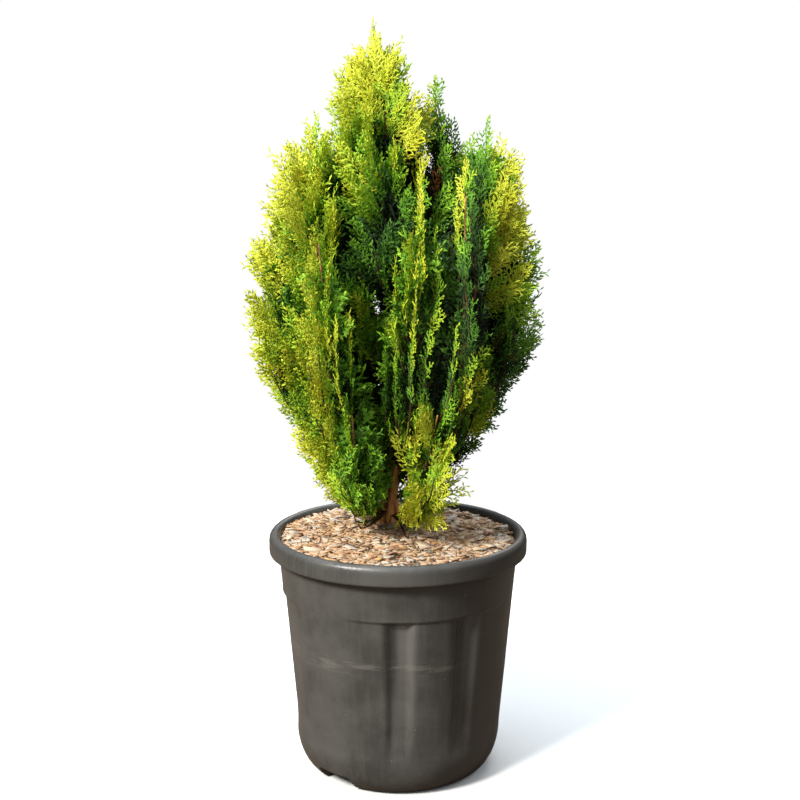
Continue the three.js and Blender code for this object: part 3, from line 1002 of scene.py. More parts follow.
@dataclass
class MulchLayer:
    """The mound of growing medium and the bark chips strewn on it.

    The mulch lies higher round the trunk by its crown and towards one side by its tilt.
    A chip is of one of three kinds: a splinter, a straw or a large pale chip.
    """

    pot: NurseryPot
    edge_height: float = 0.305
    crown: float = 0.012
    tilt: float = 0.0045
    tilt_azimuth: float = -150.0
    lump: float = 0.0016
    crumb: float = 0.0011
    rings: int = 92
    sides: int = 220
    wall_gap: float = 0.0036
    chips: int = 3600
    chip_gap: float = 0.0085
    kinds: Triple = (0.77, 0.20, 0.03)
    thickness: Span = (0.0008, 0.0022)
    sink: Span = (-0.0010, 0.0022)
    pitch: float = 0.15
    roll: float = 0.22
    mat_reach: float = 0.095
    seed: int = 5

    def height(self, x: Array, y: Array) -> Array:
        """Height of the mulch: a low crown, a lean to one side, and lumps.

        Args:
            x: Places across.
            y: Places front to back.

        Returns:
            Heights above the ground.
        """
        share = np.hypot(x, y) / (self.pot.neck * self.pot.rim)
        azimuth = np.degrees(np.arctan2(x, -y))
        lean = share * np.cos(np.radians(azimuth - self.tilt_azimuth))
        lumps = np.sin(x * 71.0 + 1.1) * np.cos(y * 83.0 - 0.4)
        lumps = lumps + 0.6 * np.sin(x * 130.0 - y * 110.0)
        at = np.stack([x * 90.0, y * 90.0, 0.0 * x], axis=-1)
        fine = lattice_noise(at, 3) + 0.6 * lattice_noise(at * 2.7, 4)
        mound = self.edge_height + self.crown * (1.0 - share * share) + self.tilt * lean
        return mound + self.lump * lumps + self.crumb * fine

    def inner_radius(self) -> float:
        """Radius of the pot's plain wall at the mulch's edge."""
        return float(self.pot.wall_radius(np.array([self.edge_height]))[0])

    def bed(self) -> Shell:
        """The mound as a disc of rings, closed below by the block of soil.

        Returns:
            The bed's shell.
        """
        rim = self.inner_radius() - self.wall_gap
        depth = self.edge_height - 0.04
        block = [[rim * 0.55, depth], [rim - 0.03, depth * 0.85], [rim - 0.013, 0.06]]
        block = np.array([*block, [rim, 0.012]])
        top = np.linspace(1.0, 0.012, self.rings) * rim
        radius = np.concatenate([block[:, 0], top])[:, None]
        azimuth = np.arange(self.sides) / self.sides * FULL_TURN
        x, y = radius * np.sin(azimuth), -radius * np.cos(azimuth)
        z = self.height(x, y)
        z[: len(block)] = self.edge_height - block[:, 1:]
        poles = np.array([[0.0, 0.0, z[0, 0]], [0.0, 0.0, z[-1].mean()]])
        points = np.concatenate([np.stack([x, y, z], axis=-1).reshape(-1, 3), poles])
        return Shell(points, capped_faces(len(radius), self.sides))

    def chip_shapes(self, rng: np.random.Generator, kind: Array) -> Array:
        """Boxes knocked out of true, the chips before they are laid.

        Args:
            rng: Source of the irregularities.
            kind: 0 for a splinter, 1 for a straw, 2 for a large chip.

        Returns:
            Corners along, across and over each chip, (chips, 8, 3).
        """
        count = self.chips
        size = rng.beta(1.3, 3.2, count)
        long = (mix(0.0070, 0.029, size), mix(0.016, 0.046, size), mix(0.020, 0.030, size))
        length = np.choose(kind, long)
        width = mix(0.0026, 0.0115, rng.beta(1.4, 2.8, count))
        broad = (np.minimum(width, length * 0.7), 0.0010 + 0.1 * width, 0.0080 + 0.3 * width)
        width = np.choose(kind, broad)
        thick = np.choose(kind, (1.0, 0.6, 1.3)) * rng.uniform(*self.thickness, count)
        signs = np.array(list(product((-1.0, 1.0), repeat=3)))
        shape = signs[None] + rng.uniform(-0.34, 0.34, (count, 8, 3))
        shape[..., 1] *= 1.0 - 0.45 * (shape[..., 0] > 0) * rng.uniform(0, 1, (count, 1))
        return shape * np.stack([length, width, thick], axis=-1)[:, None] / 2.0

    def chip_tints(self, rng: np.random.Generator, kind: Array, radius: Array) -> Array:
        """Tint of each chip: by its share, but pale if large, and straw near the trunk.

        Args:
            rng: Source of the choice.
            kind: Kinds of the chips.
            radius: Their distances from the trunk.

        Returns:
            Numbers in the order of ChipTint.
        """
        order = list(ChipTint)
        weights = np.array([tint.value[1] for tint in order])
        tint = rng.choice(len(order), len(kind), p=weights / weights.sum())
        pale = np.where(tint % 2 == 0, order.index(ChipTint.BUFF), order.index(ChipTint.GREY))
        tint = np.where(kind == 2, pale, tint)
        matted = (kind == 1) & (radius < self.mat_reach)
        return np.where(matted, order.index(ChipTint.STRAW), tint)

    def chip_layer(self) -> Shell:
        """Flat splintered chips strewn over the mound, twelve triangles each.

        Each chip lies along the mound with a random heading and a slight tilt.

        Returns:
            The chips' shell.
        """
        rng = np.random.default_rng(self.seed)
        count = self.chips
        rim = self.inner_radius() - self.chip_gap
        radius = rim * np.sqrt(rng.uniform(0.004, 1.0, count))
        azimuth = rng.uniform(0.0, FULL_TURN, count)
        x, y = radius * np.sin(azimuth), -radius * np.cos(azimuth)
        kind = rng.choice(3, count, p=self.kinds)
        local = self.chip_shapes(rng, kind)
        heading = rng.uniform(0.0, FULL_TURN, count)
        along = pointing(heading, rng.normal(0.0, self.pitch, count))
        side = turned(unit(np.cross(UP, along)), along, rng.normal(0.0, self.roll, count))
        over = np.cross(along, side)
        z = self.height(x, y) + rng.uniform(*self.sink, count) + 0.0008 * (kind == 2)
        points = (
            np.stack([x, y, z], axis=-1)[:, None]
            + local[..., :1] * along[:, None]
            + local[..., 1:2] * side[:, None]
            + local[..., 2:] * over[:, None]
        )
        quads = (np.arange(count)[:, None, None] * 8 + BOX_FACES).reshape(-1, 4)
        tint = self.chip_tints(rng, kind, radius)
        return Shell(points.reshape(-1, 3), [quads], [np.repeat(tint, len(BOX_FACES))])

    def dress(self) -> list[Piece]:
        """Build the bed and the chips with their finishes.

        Returns:
            The two pieces.
        """
        bed = self.bed().placed("mulch_bed", [MulchBed().made()])
        tints = [
            PlainTint(f"chip_{tint.name.lower()}", tint.value[0], 0.9, 0.15).made()
            for tint in ChipTint
        ]
        chips = self.chip_layer().placed("bark_chips", tints)
        for piece in (bed, chips):
            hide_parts("mulch_and_soil")
        return [bed, chips]


# ---- room of the crown


OFF_EDGES = 1.7e-4  # keeps the columns of cells clear of the triangles' edges


@dataclass
class CrownRoom:
    """The room that the foliage masses hold, as a grid of small cells.

    Attributes:
        masses: Names of the foliage masses.
        limbs: Names of the trunk and boughs, which fill their tunnels in the masses.
        cell: Side of a cell.
        margin: Empty border round the crown.
        horizon: Greatest distance that is worked out, in cells.
    """

    masses: list[str]
    limbs: list[str]
    cell: float = 0.005
    margin: float = 0.045
    horizon: int = 15
    owner: Array = field(init=False)
    distance: Array = field(init=False)
    slope: Array = field(init=False)
    shelter: Array = field(init=False)

    def __post_init__(self) -> None:
        """Fill the grid and work out distances, slopes and shelter."""
        boxes = np.array([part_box(name) for name in self.masses])
        self.low = boxes[:, 0].min(axis=0) - self.margin
        high = boxes[:, 1].max(axis=0) + self.margin
        self.shape = tuple(np.ceil((high - self.low) / self.cell).astype(int))
        self.owner = np.full(self.shape, -1, dtype=np.int16)
        for number, name in enumerate(self.masses):
            self.owner[self._inside(triangles_of(name))] = number
        solid = self.owner >= 0
        for name in self.limbs:
            solid |= self._inside(triangles_of(name))
        solid = ~self._grown(~self._grown(solid))
        away = self._steps_to(solid) - self._steps_to(~solid)
        self.distance = away * self.cell
        soft = self._averaged(self.distance, 1)
        self.slope = np.stack(np.gradient(soft, self.cell), axis=-1)
        self.shelter = self._averaged(solid.astype(np.float32), 9)

    def _inside(self, corners: Array) -> Array:
        """Cells whose centre is inside a closed surface.

        An upright line through a column of cells crosses triangles at some heights, and
        a cell is inside if an odd number of them lies below it.

        Args:
            corners: Triangle corners, (triangles, 3, 3).

        Returns:
            Truth of every cell.
        """
        full = np.zeros(self.shape, dtype=bool)
        place = (corners.reshape(-1, 3) - self.low) / self.cell
        first = np.maximum(np.floor(place.min(axis=0)).astype(int), 0)
        last = np.minimum(np.ceil(place.max(axis=0)).astype(int), np.array(self.shape))
        if np.any(last <= first):
            return full
        across, back = (np.arange(first[axis], last[axis]) + 0.5 for axis in (0, 1))
        columns = np.stack(np.meshgrid(across, back, indexing="ij"), axis=-1).reshape(-1, 2)
        columns = columns + OFF_EDGES
        tri = place.reshape(-1, 3, 3)
        a, b, c = (tri[:, i, None, :2] for i in range(3))

        def side(u: Array, v: Array) -> Array:
            """Twice the signed area of the triangle u, v and the column."""
            leg, reach = v - u, columns[None] - u
            return leg[..., 0] * reach[..., 1] - leg[..., 1] * reach[..., 0]

        weight = np.stack([side(b, c), side(c, a), side(a, b)])
        total = weight.sum(axis=0)
        hit = (weight >= 0).all(axis=0) | (weight <= 0).all(axis=0)
        which, column = np.nonzero(hit & (np.abs(total) > 1e-9))
        z = (weight[:, which, column] * tri[which, :, 2].T).sum(axis=0) / total[which, column]
        level = np.clip(np.ceil(z - 0.5).astype(int), 0, self.shape[2])
        crossings = np.zeros((len(columns), self.shape[2] + 1), dtype=np.int32)
        np.add.at(crossings, (column, level), 1)
        odd = np.cumsum(crossings, axis=1)[:, :-1] % 2 == 1
        block = odd.reshape(last[0] - first[0], last[1] - first[1], self.shape[2])
        full[first[0] : last[0], first[1] : last[1]] = block
        return full

    @staticmethod
    def _grown(solid: Array) -> Array:
        """Cells that are solid or touch a solid cell by a side."""
        shifted = [np.roll(solid, step, axis) for axis in range(3) for step in (1, -1)]
        return np.logical_or.reduce([solid, *shifted])

    def _steps_to(self, solid: Array) -> Array:
        """Distance in cells, up to the horizon, from every cell to the nearest solid one.

        Along each axis in turn a cell takes the least of its neighbours' squared
        distances plus the square of the step to them.

        Args:
            solid: Truth of every cell.

        Returns:
            Distances.
        """
        best = np.where(solid, 0.0, float(self.horizon**2)).astype(np.float32)
        for axis in range(3):
            source = np.moveaxis(best, axis, 0)
            nearest = source.copy()
            for step in range(1, self.horizon):
                square = float(step * step)
                np.minimum(nearest[step:], source[:-step] + square, out=nearest[step:])
                np.minimum(nearest[:-step], source[step:] + square, out=nearest[:-step])
            best = np.moveaxis(nearest, 0, axis)
        return np.sqrt(best)

    @staticmethod
    def _averaged(grid: Array, reach: int) -> Array:
        """Mean of each cell's neighbourhood, a box of cells, taken twice.

        Args:
            grid: Values of the cells.
            reach: Cells from the middle of the box to its side.

        Returns:
            The means.
        """
        side = 2 * reach + 1
        for axis in (0, 1, 2, 0, 1, 2):
            wide = np.moveaxis(grid, axis, 0)
            wide = np.pad(wide, [(reach + 1, reach), (0, 0), (0, 0)], mode="edge")
            total = np.cumsum(wide, axis=0, dtype=np.float64)
            mean = ((total[side:] - total[:-side]) / side).astype(np.float32)
            grid = np.moveaxis(mean, 0, axis)
        return grid

    def read(self, grid: Array, points: Array) -> Array:
        """Value of a grid at points, blended from the eight cells round each.

        Args:
            grid: Values of the cells, with or without a last axis of their own.
            points: Places, (..., 3).

        Returns:
            Values at the places.
        """
        place = (points - self.low) / self.cell - 0.5
        place = np.clip(place, 0.0, np.array(self.shape) - 1.001)
        low = np.floor(place).astype(int)
        share = place - low
        total = 0.0
        for corner, weight in cube_corners(share):
            at = low + corner
            value = grid[at[..., 0], at[..., 1], at[..., 2]]
            total = total + value * (weight[..., None] if grid.ndim > 3 else weight)
        return total

    def middle_of(self, number: int, stations: int) -> Array:
        """Middle line of a mass: the mean place of its cells at each level, smoothed.

        Args:
            number: The mass's number.
            stations: Points on the line.

        Returns:
            Points from its foot to its tip, (stations, 3).
        """
        levels, means = self._level_means(self.owner == number)
        z = np.linspace(levels[0], levels[-1], stations)
        return np.column_stack([smoothed(read_line(z, levels, means), 6), z])

    def _level_means(self, chosen: Array) -> tuple[Array, Array]:
        """Heights of the chosen cells, and their mean place at each height.

        Args:
            chosen: Truth of every cell.

        Returns:
            Heights, (levels,), and mean x and y, (levels, 2).
        """
        cells = (np.argwhere(chosen) + 0.5) * self.cell + self.low
        levels, group = np.unique(cells[:, 2].round(5), return_inverse=True)
        sums = [np.bincount(group, cells[:, axis]) for axis in (0, 1)]
        return levels, np.stack(sums, axis=-1) / np.bincount(group)[:, None]

    def heart(self, height: Array) -> Array:
        """Middle of the whole crown at heights, (..., 2)."""
        return read_line(height, *self._level_means(self.owner >= 0))


# ---- trunk and boughs


TRUNK_BARK = FibrousBark(
    "trunk_bark", linear(112, 68, 38), linear(250, 182, 108), linear(222, 184, 138)
)
BOUGH_BARK = FibrousBark(
    "bough_bark", linear(84, 56, 36), linear(190, 132, 84), linear(160, 128, 94)
)


@dataclass
class Limbs:
    """Trunk and boughs with their peeling bark."""

    room: CrownRoom
    trunk_sides: int = 72
    trunk_rings: int = 260
    bough_sides: int = 18
    bough_rings: int = 56
    leader_share: float = 0.9
    leaders: dict[str, Array] = field(default_factory=dict)

    def relief(self, length: Array, girth: Array, sides: int, seed: int) -> Array:
        """Height of the bark strips: long ridges that run with the limb and wander.

        Noise is read on a cylinder of squeezed length and taken as (1 - |noise|)^2.

        Args:
            length: Distance of each ring along the limb, (rings,).
            girth: Mean radius of each ring, (rings,).
            sides: Corners of a ring.
            seed: Changes the strips.

        Returns:
            Heights between 0 and 1, (rings, sides).
        """
        angle = np.arange(sides) / sides * FULL_TURN
        lean = angle[None, :] + 9.0 * length[:, None]
        scale = np.maximum(girth, 0.003)[:, None] * 330.0
        far = np.repeat(length[:, None] * 26.0, sides, axis=1)
        at = np.stack([np.cos(lean) * scale, np.sin(lean) * scale, far], axis=-1)
        broad = 1.0 - np.abs(lattice_noise(at, seed))
        fine = 1.0 - np.abs(lattice_noise(at * np.array([2.3, 2.3, 1.6]), seed + 1))
        return 0.65 * broad**2 + 0.35 * fine**2

    def trunk(self) -> Shell:
        """The trunk: flared lobed foot, a groove between two stems, strips of bark.

        Returns:
            The trunk's shell.
        """
        low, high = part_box("trunk")
        centres, radii = middle_line("trunk", UP, 44)
        self.trunk_line = centres
        z = np.linspace(low.z, high.z, self.trunk_rings)
        order = centres[:, 2]
        path = np.column_stack([smoothed(read_line(z, order, centres[:, :2]), 12), z])
        radius = np.interp(z, order, radii)
        above = z - low.z
        angle = np.arange(self.trunk_sides) / self.trunk_sides * FULL_TURN
        strips = self.relief(above, radius, self.trunk_sides, 21)
        front = angle[None, :] - (math.pi * 0.52 + 2.4 * above[:, None])
        front = np.angle(np.exp(1j * front))
        back = np.angle(np.exp(1j * (front + math.pi * 0.9)))
        cleft = 0.30 * np.exp(-((front / 0.34) ** 2)) + 0.18 * np.exp(-((back / 0.4) ** 2))
        fade = 1.0 - smooth_step(0.06, 0.16, above)
        lobes = 0.10 * np.cos(5.0 * angle + 0.5)[None, :]
        lobes = lobes * (1.0 - smooth_step(0.0, 0.028, above))[:, None]
        taper = mix(1.0, 0.50, smooth_step(0.010, 0.080, above))
        taper = (taper * (1.0 - 0.9 * smooth_step(0.62, 1.0, above / above[-1])))[:, None]
        reach = radius[:, None] * (0.94 + lobes - cleft * fade[:, None]) * taper
        reach = reach + strips * taper * np.minimum(0.0024, radius * 0.2)[:, None]
        return tube(path, reach, np.array([0.0, 1.0, 0.0]))

    def bough(self, mass: str, seed: int) -> Shell:
        """One bough and the leader that carries on from it up its mass's middle.

        Args:
            mass: Name of the mass that it carries.
            seed: Changes its bark.

        Returns:
            The limb's shell.
        """
        node = f"bough_to_{mass}"
        corners = triangles_of(node).reshape(-1, 3)
        number = self.room.masses.index(mass)
        middle = self.room.middle_of(number, 40)
        low = corners[corners[:, 2] < np.quantile(corners[:, 2], 0.12)].mean(axis=0)
        high = corners[corners[:, 2] > np.quantile(corners[:, 2], 0.88)].mean(axis=0)
        heading = unit(high - low)
        centres, radii = middle_line(node, heading, 9)
        z = self.trunk_line[:, 2]
        start = read_line(np.clip(low[2] - 0.004, z[0], z[-1]), z, self.trunk_line)
        rest = middle[middle[:, 2] > centres[-1, 2] + 0.012]
        rest = rest[: max(2, int(len(rest) * self.leader_share))]
        knots = np.concatenate([start[None], centres[1:-1:2], rest[1::4], rest[-1:]])
        knots = smoothed(knots, 2)
        run = run_along(knots)
        length = np.linspace(0.0, run[-1], self.bough_rings)
        path = smoothed(read_line(length, run, knots), 4)
        share = length / length[-1]
        base = float(np.median(radii)) * (0.82 - 0.44 * self.low_slimming(start[2]))
        radius = np.maximum(base * (1.0 - share) ** 1.5, 0.0009)
        collar = 1.0 + 0.35 * np.exp(-((share / 0.07) ** 2))
        strips = self.relief(length, radius, self.bough_sides, seed)
        reach = (radius * collar)[:, None] * (0.92 + 0.26 * strips)
        self.leaders[mass] = path
        span = path[-1] - path[0]
        aside = unit(np.cross(span, np.array([0.2, 0.1, 0.9])))
        return tube(path, reach, aside)

    @staticmethod
    def low_slimming(height: float) -> float:
        """How far a bough is slimmed: wholly at the ground, not at all high up."""
        return float(1.0 - smooth_step(0.35, 0.41, np.array(height)))

    def dress(self) -> list[Piece]:
        """Build the trunk and the boughs with their bark.

        Returns:
            The pieces.
        """
        trunk = self.trunk().placed("trunk_with_bark", [TRUNK_BARK.made()])
        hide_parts("trunk")
        bark = BOUGH_BARK.made()
        pieces = [trunk]
        top = self.room.masses[0]
        self.leaders[top] = self.trunk_line[self.trunk_line[:, 2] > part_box(top)[0].z - 0.02]
        for number, mass in enumerate(self.room.masses[1:]):
            piece = self.bough(mass, 40 + 3 * number).placed(f"limb_to_{mass}", [bark])
            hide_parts(f"bough_to_{mass}")
            pieces.append(piece)
        return pieces


# ---- sprays


ShootRow = tuple[Array, Array, float, float]


@dataclass(frozen=True)
class Spray:
    """One flat spray of scale-leaved shoots, drawn on a plane one unit long.

    Attributes:
        start: Where each shoot begins: across, along, and out of the plane, (n, 3).
        end: Where it ends, (n, 3).
        breadth: Its width as a share of the usual width, (n,).
        youth: 0 for the oldest shoots at the foot, 1 for the tips, (n,).
    """

    start: Array
    end: Array
    breadth: Array
    youth: Array


@dataclass(frozen=True)
class SprayRule:
    """The rule by which a spray grows.

    An axis bears side shoots to left and right by turns. They are longest a third of
    the way up, lean forward more towards the tip and bear short side shoots of their
    own. Each shoot bends a little out of the plane.
    """

    side_shoots: int = 14
    length: float = 0.44
    spread: float = 44.0
    gather: float = 14.0
    joint: float = 0.13
    flutter: float = 12.0
    breadth: float = 1.0

    def grown(self, rng: np.random.Generator) -> Spray:
        """Grow one spray.

        Args:
            rng: Source of the small irregularities.

        Returns:
            The spray.
        """
        rows: list[ShootRow] = []
        bend = rng.uniform(-0.10, 0.10)

        def on_axis(share: float) -> Array:
            """Point of the spray's axis."""
            return np.array([bend * share**2, share, 0.015 * math.sin(5.0 * share)])

        joints = max(3, round(0.95 / self.joint))
        marks = np.linspace(0.0, 1.0, joints + 1)
        for low, high in zip(marks[:-1], marks[1:]):
            rows.append((on_axis(low), on_axis(high), 1.05 - 0.2 * high, float(high)))
        hand = rng.choice((-1.0, 1.0))
        for number in range(self.side_shoots):
            hand = -hand
            share = 0.07 + 0.86 * (number + rng.uniform(0.2, 0.8)) / self.side_shoots
            rows += self._side_shoot(rng, on_axis(share), share, hand)
        start, end, breadth, youth = (np.array(part) for part in zip(*rows))
        return Spray(start, end, breadth * self.breadth, youth)

    def _side_shoot(
        self, rng: np.random.Generator, foot: Array, share: float, hand: float
    ) -> list[ShootRow]:
        """Grow one side shoot and the short shoots on it.

        Args:
            rng: Source of the small irregularities.
            foot: Where it leaves the axis.
            share: How far up the axis that is.
            hand: -1 for left or 1 for right.

        Returns:
            Its shoots.
        """
        swell = min(1.0, 0.45 + 1.7 * share) * (1.0 - share) ** 0.62
        reach = (self.length * swell + 0.05) * rng.uniform(0.82, 1.18)
        angle = self.spread - self.gather * share + rng.normal(0.0, 3.0)
        tilt = rng.normal(0.0, self.flutter)

        def heading(lean: float, out: float) -> Array:
            """Unit vector that leans to the shoot's side and out of the plane, radians."""
            way = np.array([hand * math.sin(lean), math.cos(lean), math.sin(out)])
            return way / np.linalg.norm(way)

        rows: list[ShootRow] = []
        joints = max(1, round(reach / self.joint))
        step = reach / joints
        here = foot
        for joint in range(joints):
            lean = math.radians(angle - 13.0 * joint)
            along = heading(lean, math.radians(tilt))
            there = here + along * step
            youth = 0.25 + 0.35 * share + 0.4 * (joint + 1) / joints
            rows.append((here - along * step * 0.1, there, 0.98, youth))
            if joint < joints - 1 or joints == 1:
                for way in (-1.0, 1.0):
                    fork = lean + way * math.radians(36.0 + rng.uniform(-6.0, 6.0))
                    side = heading(fork, math.radians(tilt + rng.normal(0.0, self.flutter)))
                    origin = mix(here, there, 0.55 if way > 0 else 0.85)
                    size = step * rng.uniform(0.62, 0.9)
                    rows.append((origin, origin + side * size, 0.9, min(1.0, youth + 0.2)))
            here = there
        return rows


SHOOT_FACES = np.array([[0, 1, 3], [0, 3, 2], [0, 2, 1], [3, 1, 2]])


# ---- foliage


TWIG_COLOURS = {"umber": (62, 44, 28), "russet": (88, 58, 36), "olive": (72, 70, 34)}


GOLDEN, DEEP, GREEN = "foliage_gold", "foliage_deep", "foliage_green"


@dataclass(frozen=True)
class Habit:
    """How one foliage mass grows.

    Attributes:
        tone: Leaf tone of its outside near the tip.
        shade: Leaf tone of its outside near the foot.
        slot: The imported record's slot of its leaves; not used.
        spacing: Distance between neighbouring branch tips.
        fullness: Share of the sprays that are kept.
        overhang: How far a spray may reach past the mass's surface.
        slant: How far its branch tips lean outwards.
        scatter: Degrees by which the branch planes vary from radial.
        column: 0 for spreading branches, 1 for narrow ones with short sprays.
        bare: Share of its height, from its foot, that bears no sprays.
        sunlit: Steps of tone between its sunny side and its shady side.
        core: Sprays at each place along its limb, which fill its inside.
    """

    tone: float
    shade: float
    slot: str = GREEN
    spacing: float = 0.029
    fullness: float = 1.0
    overhang: float = 0.008
    slant: float = 0.34
    scatter: float = 24.0
    column: float = 0.0
    bare: float = 0.0
    sunlit: float = 1.3
    core: int = 2


SUNWARD = np.array([-0.72, -0.45, 0.53])
# Each mass's tones and sunlit steps paint light and shade as well as its leaf colour; a negative
# sunlit step paints shade on the side that faces the sun.
HABITS: dict[str, Habit] = {
    "leader_plume": Habit(
        5.6, 3.6, GOLDEN, 0.0265, slant=0.16, scatter=30.0, sunlit=1.8
    ),
    "second_plume": Habit(4.0, 2.4, DEEP, 0.028, slant=0.12, column=0.6, sunlit=2.4),
    "right_upper_lobe": Habit(6.0, 4.8, GOLDEN, 0.028, slant=0.22, sunlit=-4.6),
    "left_upper_plume": Habit(6.9, 6.6, GOLDEN, 0.028, overhang=0.016, slant=0.28, core=5),
    "right_mid_mass": Habit(4.8, 3.4, DEEP, 0.030, slant=0.34, sunlit=-0.6),
    "left_outer_mass": Habit(6.3, 5.9, GOLDEN, 0.029, overhang=0.007, slant=0.40),
    "front_centre_plume": Habit(
        6.8, 4.4, spacing=0.023, overhang=0.012, slant=0.10, scatter=9.0, column=1.0,
        sunlit=0.8, core=4,
    ),
    "front_left_plume": Habit(
        6.4, 5.0, spacing=0.025, overhang=0.013, slant=0.14, scatter=10.0, column=0.85, core=3
    ),
    "front_right_plume": Habit(
        6.7, 4.2, spacing=0.023, slant=0.12, scatter=9.0, column=1.0, sunlit=2.6, core=1
    ),
    "back_left_mass": Habit(6.4, 4.6, spacing=0.032, scatter=34.0, core=5),
    "back_mass": Habit(6.2, 4.2, spacing=0.032, scatter=34.0, core=8),
    "back_right_mass": Habit(6.0, 4.0, spacing=0.032, scatter=34.0, core=3),
    "right_low_mass": Habit(
        4.2, 3.4, DEEP, 0.032, 0.5, slant=0.42, scatter=34.0, bare=0.20, core=0
    ),
    "left_low_mass": Habit(6.5, 6.1, spacing=0.030, fullness=0.75, scatter=34.0, bare=0.18),
    "front_low_right_fans": Habit(
        6.7, 6.5, spacing=0.031, fullness=0.62, overhang=0.020, slant=0.2, scatter=60.0,
        bare=0.03, core=1,
    ),
    "front_low_left_fans": Habit(
        4.5, 4.1, spacing=0.031, fullness=0.8, overhang=0.005, scatter=50.0, bare=0.03, core=5
    ),
    "back_low_mass": Habit(
        4.0, 3.0, DEEP, 0.029, overhang=0.018, slant=0.30, scatter=50.0, core=4
    ),
}


@dataclass(frozen=True)
class PaintedLightPatch:
    """A part of the crown's front whose sprays are some steps of tone lighter: painted light, or
    painted shade where the steps are negative.

    It is an ellipse with its middle at x and z, and half sizes across and up.
    """

    x: float
    z: float
    across: float
    up: float
    steps: float

    def shift(self, tip: Array) -> Array:
        """Steps of tone at spray tips: full inside the ellipse, nothing at the back.

        Args:
            tip: Spray tips, (..., 3).

        Returns:
            Steps, (...).
        """
        away = np.hypot((tip[..., 0] - self.x) / self.across, (tip[..., 2] - self.z) / self.up)
        front = 1.0 - smooth_step(0.03, 0.09, tip[..., 1])
        return self.steps * front * (1.0 - smooth_step(0.65, 1.3, away))


# Painted light (positive steps) and painted shade (negative steps) on parts of the crown's front.
PAINTED_LIGHT_PATCHES = tuple(
    PaintedLightPatch(*sizes)
    for sizes in (
        (-0.068, 0.690, 0.017, 0.082, 1.3),  # edge of the left wing
        (-0.040, 0.640, 0.022, 0.045, 2.2),  # back of the cleft
        (0.093, 0.668, 0.017, 0.118, -4.4),  # shade behind the right plume
        (0.146, 0.714, 0.027, 0.088, 5.0),  # sunny lobe on the right
        (0.102, 0.515, 0.026, 0.062, 6.0),  # fan half way up on the right
        (-0.007, 0.446, 0.017, 0.046, 3.4),  # low fan before the trunk
        (0.033, 0.470, 0.018, 0.042, 3.6),  # tops of the low right fans
        (0.030, 0.845, 0.019, 0.048, 2.2),  # right flank of the leader
        (-0.024, 0.757, 0.026, 0.055, -1.3),  # hollow under the leader
        (-0.094, 0.540, 0.020, 0.080, 2.4),  # left flank
        (-0.052, 0.625, 0.022, 0.085, 2.8),  # green hollow beside it
    )
)


@dataclass
class Rows:
    """Arrays with one row for each of the same things."""

    def only(self, chosen: Array) -> Self:
        """The chosen rows of every array."""
        return type(self)(*(value[chosen] for value in vars(self).values()))

    def followed_by(self, more: Self) -> Self:
        """These rows and then those of another."""
        pairs = zip(vars(self).values(), vars(more).values())
        return type(self)(*(np.concatenate(pair) for pair in pairs))


@dataclass
class Branches(Rows):
    """Planar leafy branches: tips and outward directions, (n, 3), and mass numbers, (n,)."""

    tip: Array
    mass: Array
    out: Array

    def habit(self, masses: Sequence[str], value: str) -> Array:
        """One of the habit's values for each branch, (n,)."""
        return np.array([getattr(HABITS[name], value) for name in masses])[self.mass]

    def peak(self) -> Array:
        """1 for a branch at the very top of a mass, 0 for one on its flank, (n,)."""
        return smooth_step(0.62, 0.92, self.out[:, 2])

    def column(self, masses: Sequence[str]) -> Array:
        """How narrow each branch is: as its mass's habit says, and narrow at the tops."""
        return np.maximum(self.habit(masses, "column"), 0.9 * self.peak())


@dataclass
class Stand(Rows):
    """Sprays in their places.

    Attributes:
        foot: Their feet, (n, 3).
        axis: Their headings, (n, 3).
        normal: Directions square to their planes, (n, 3).
        length: Their lengths, (n,).
        tone: Their tones, (n,).
        depth: Depths of their tips in the crown, negative inside, (n,).
        slender: Their widths as shares of the usual width, (n,).
        mass: Numbers of their masses, (n,).
    """

    foot: Array
    axis: Array
    normal: Array
    length: Array
    tone: Array
    depth: Array
    slender: Array
    mass: Array


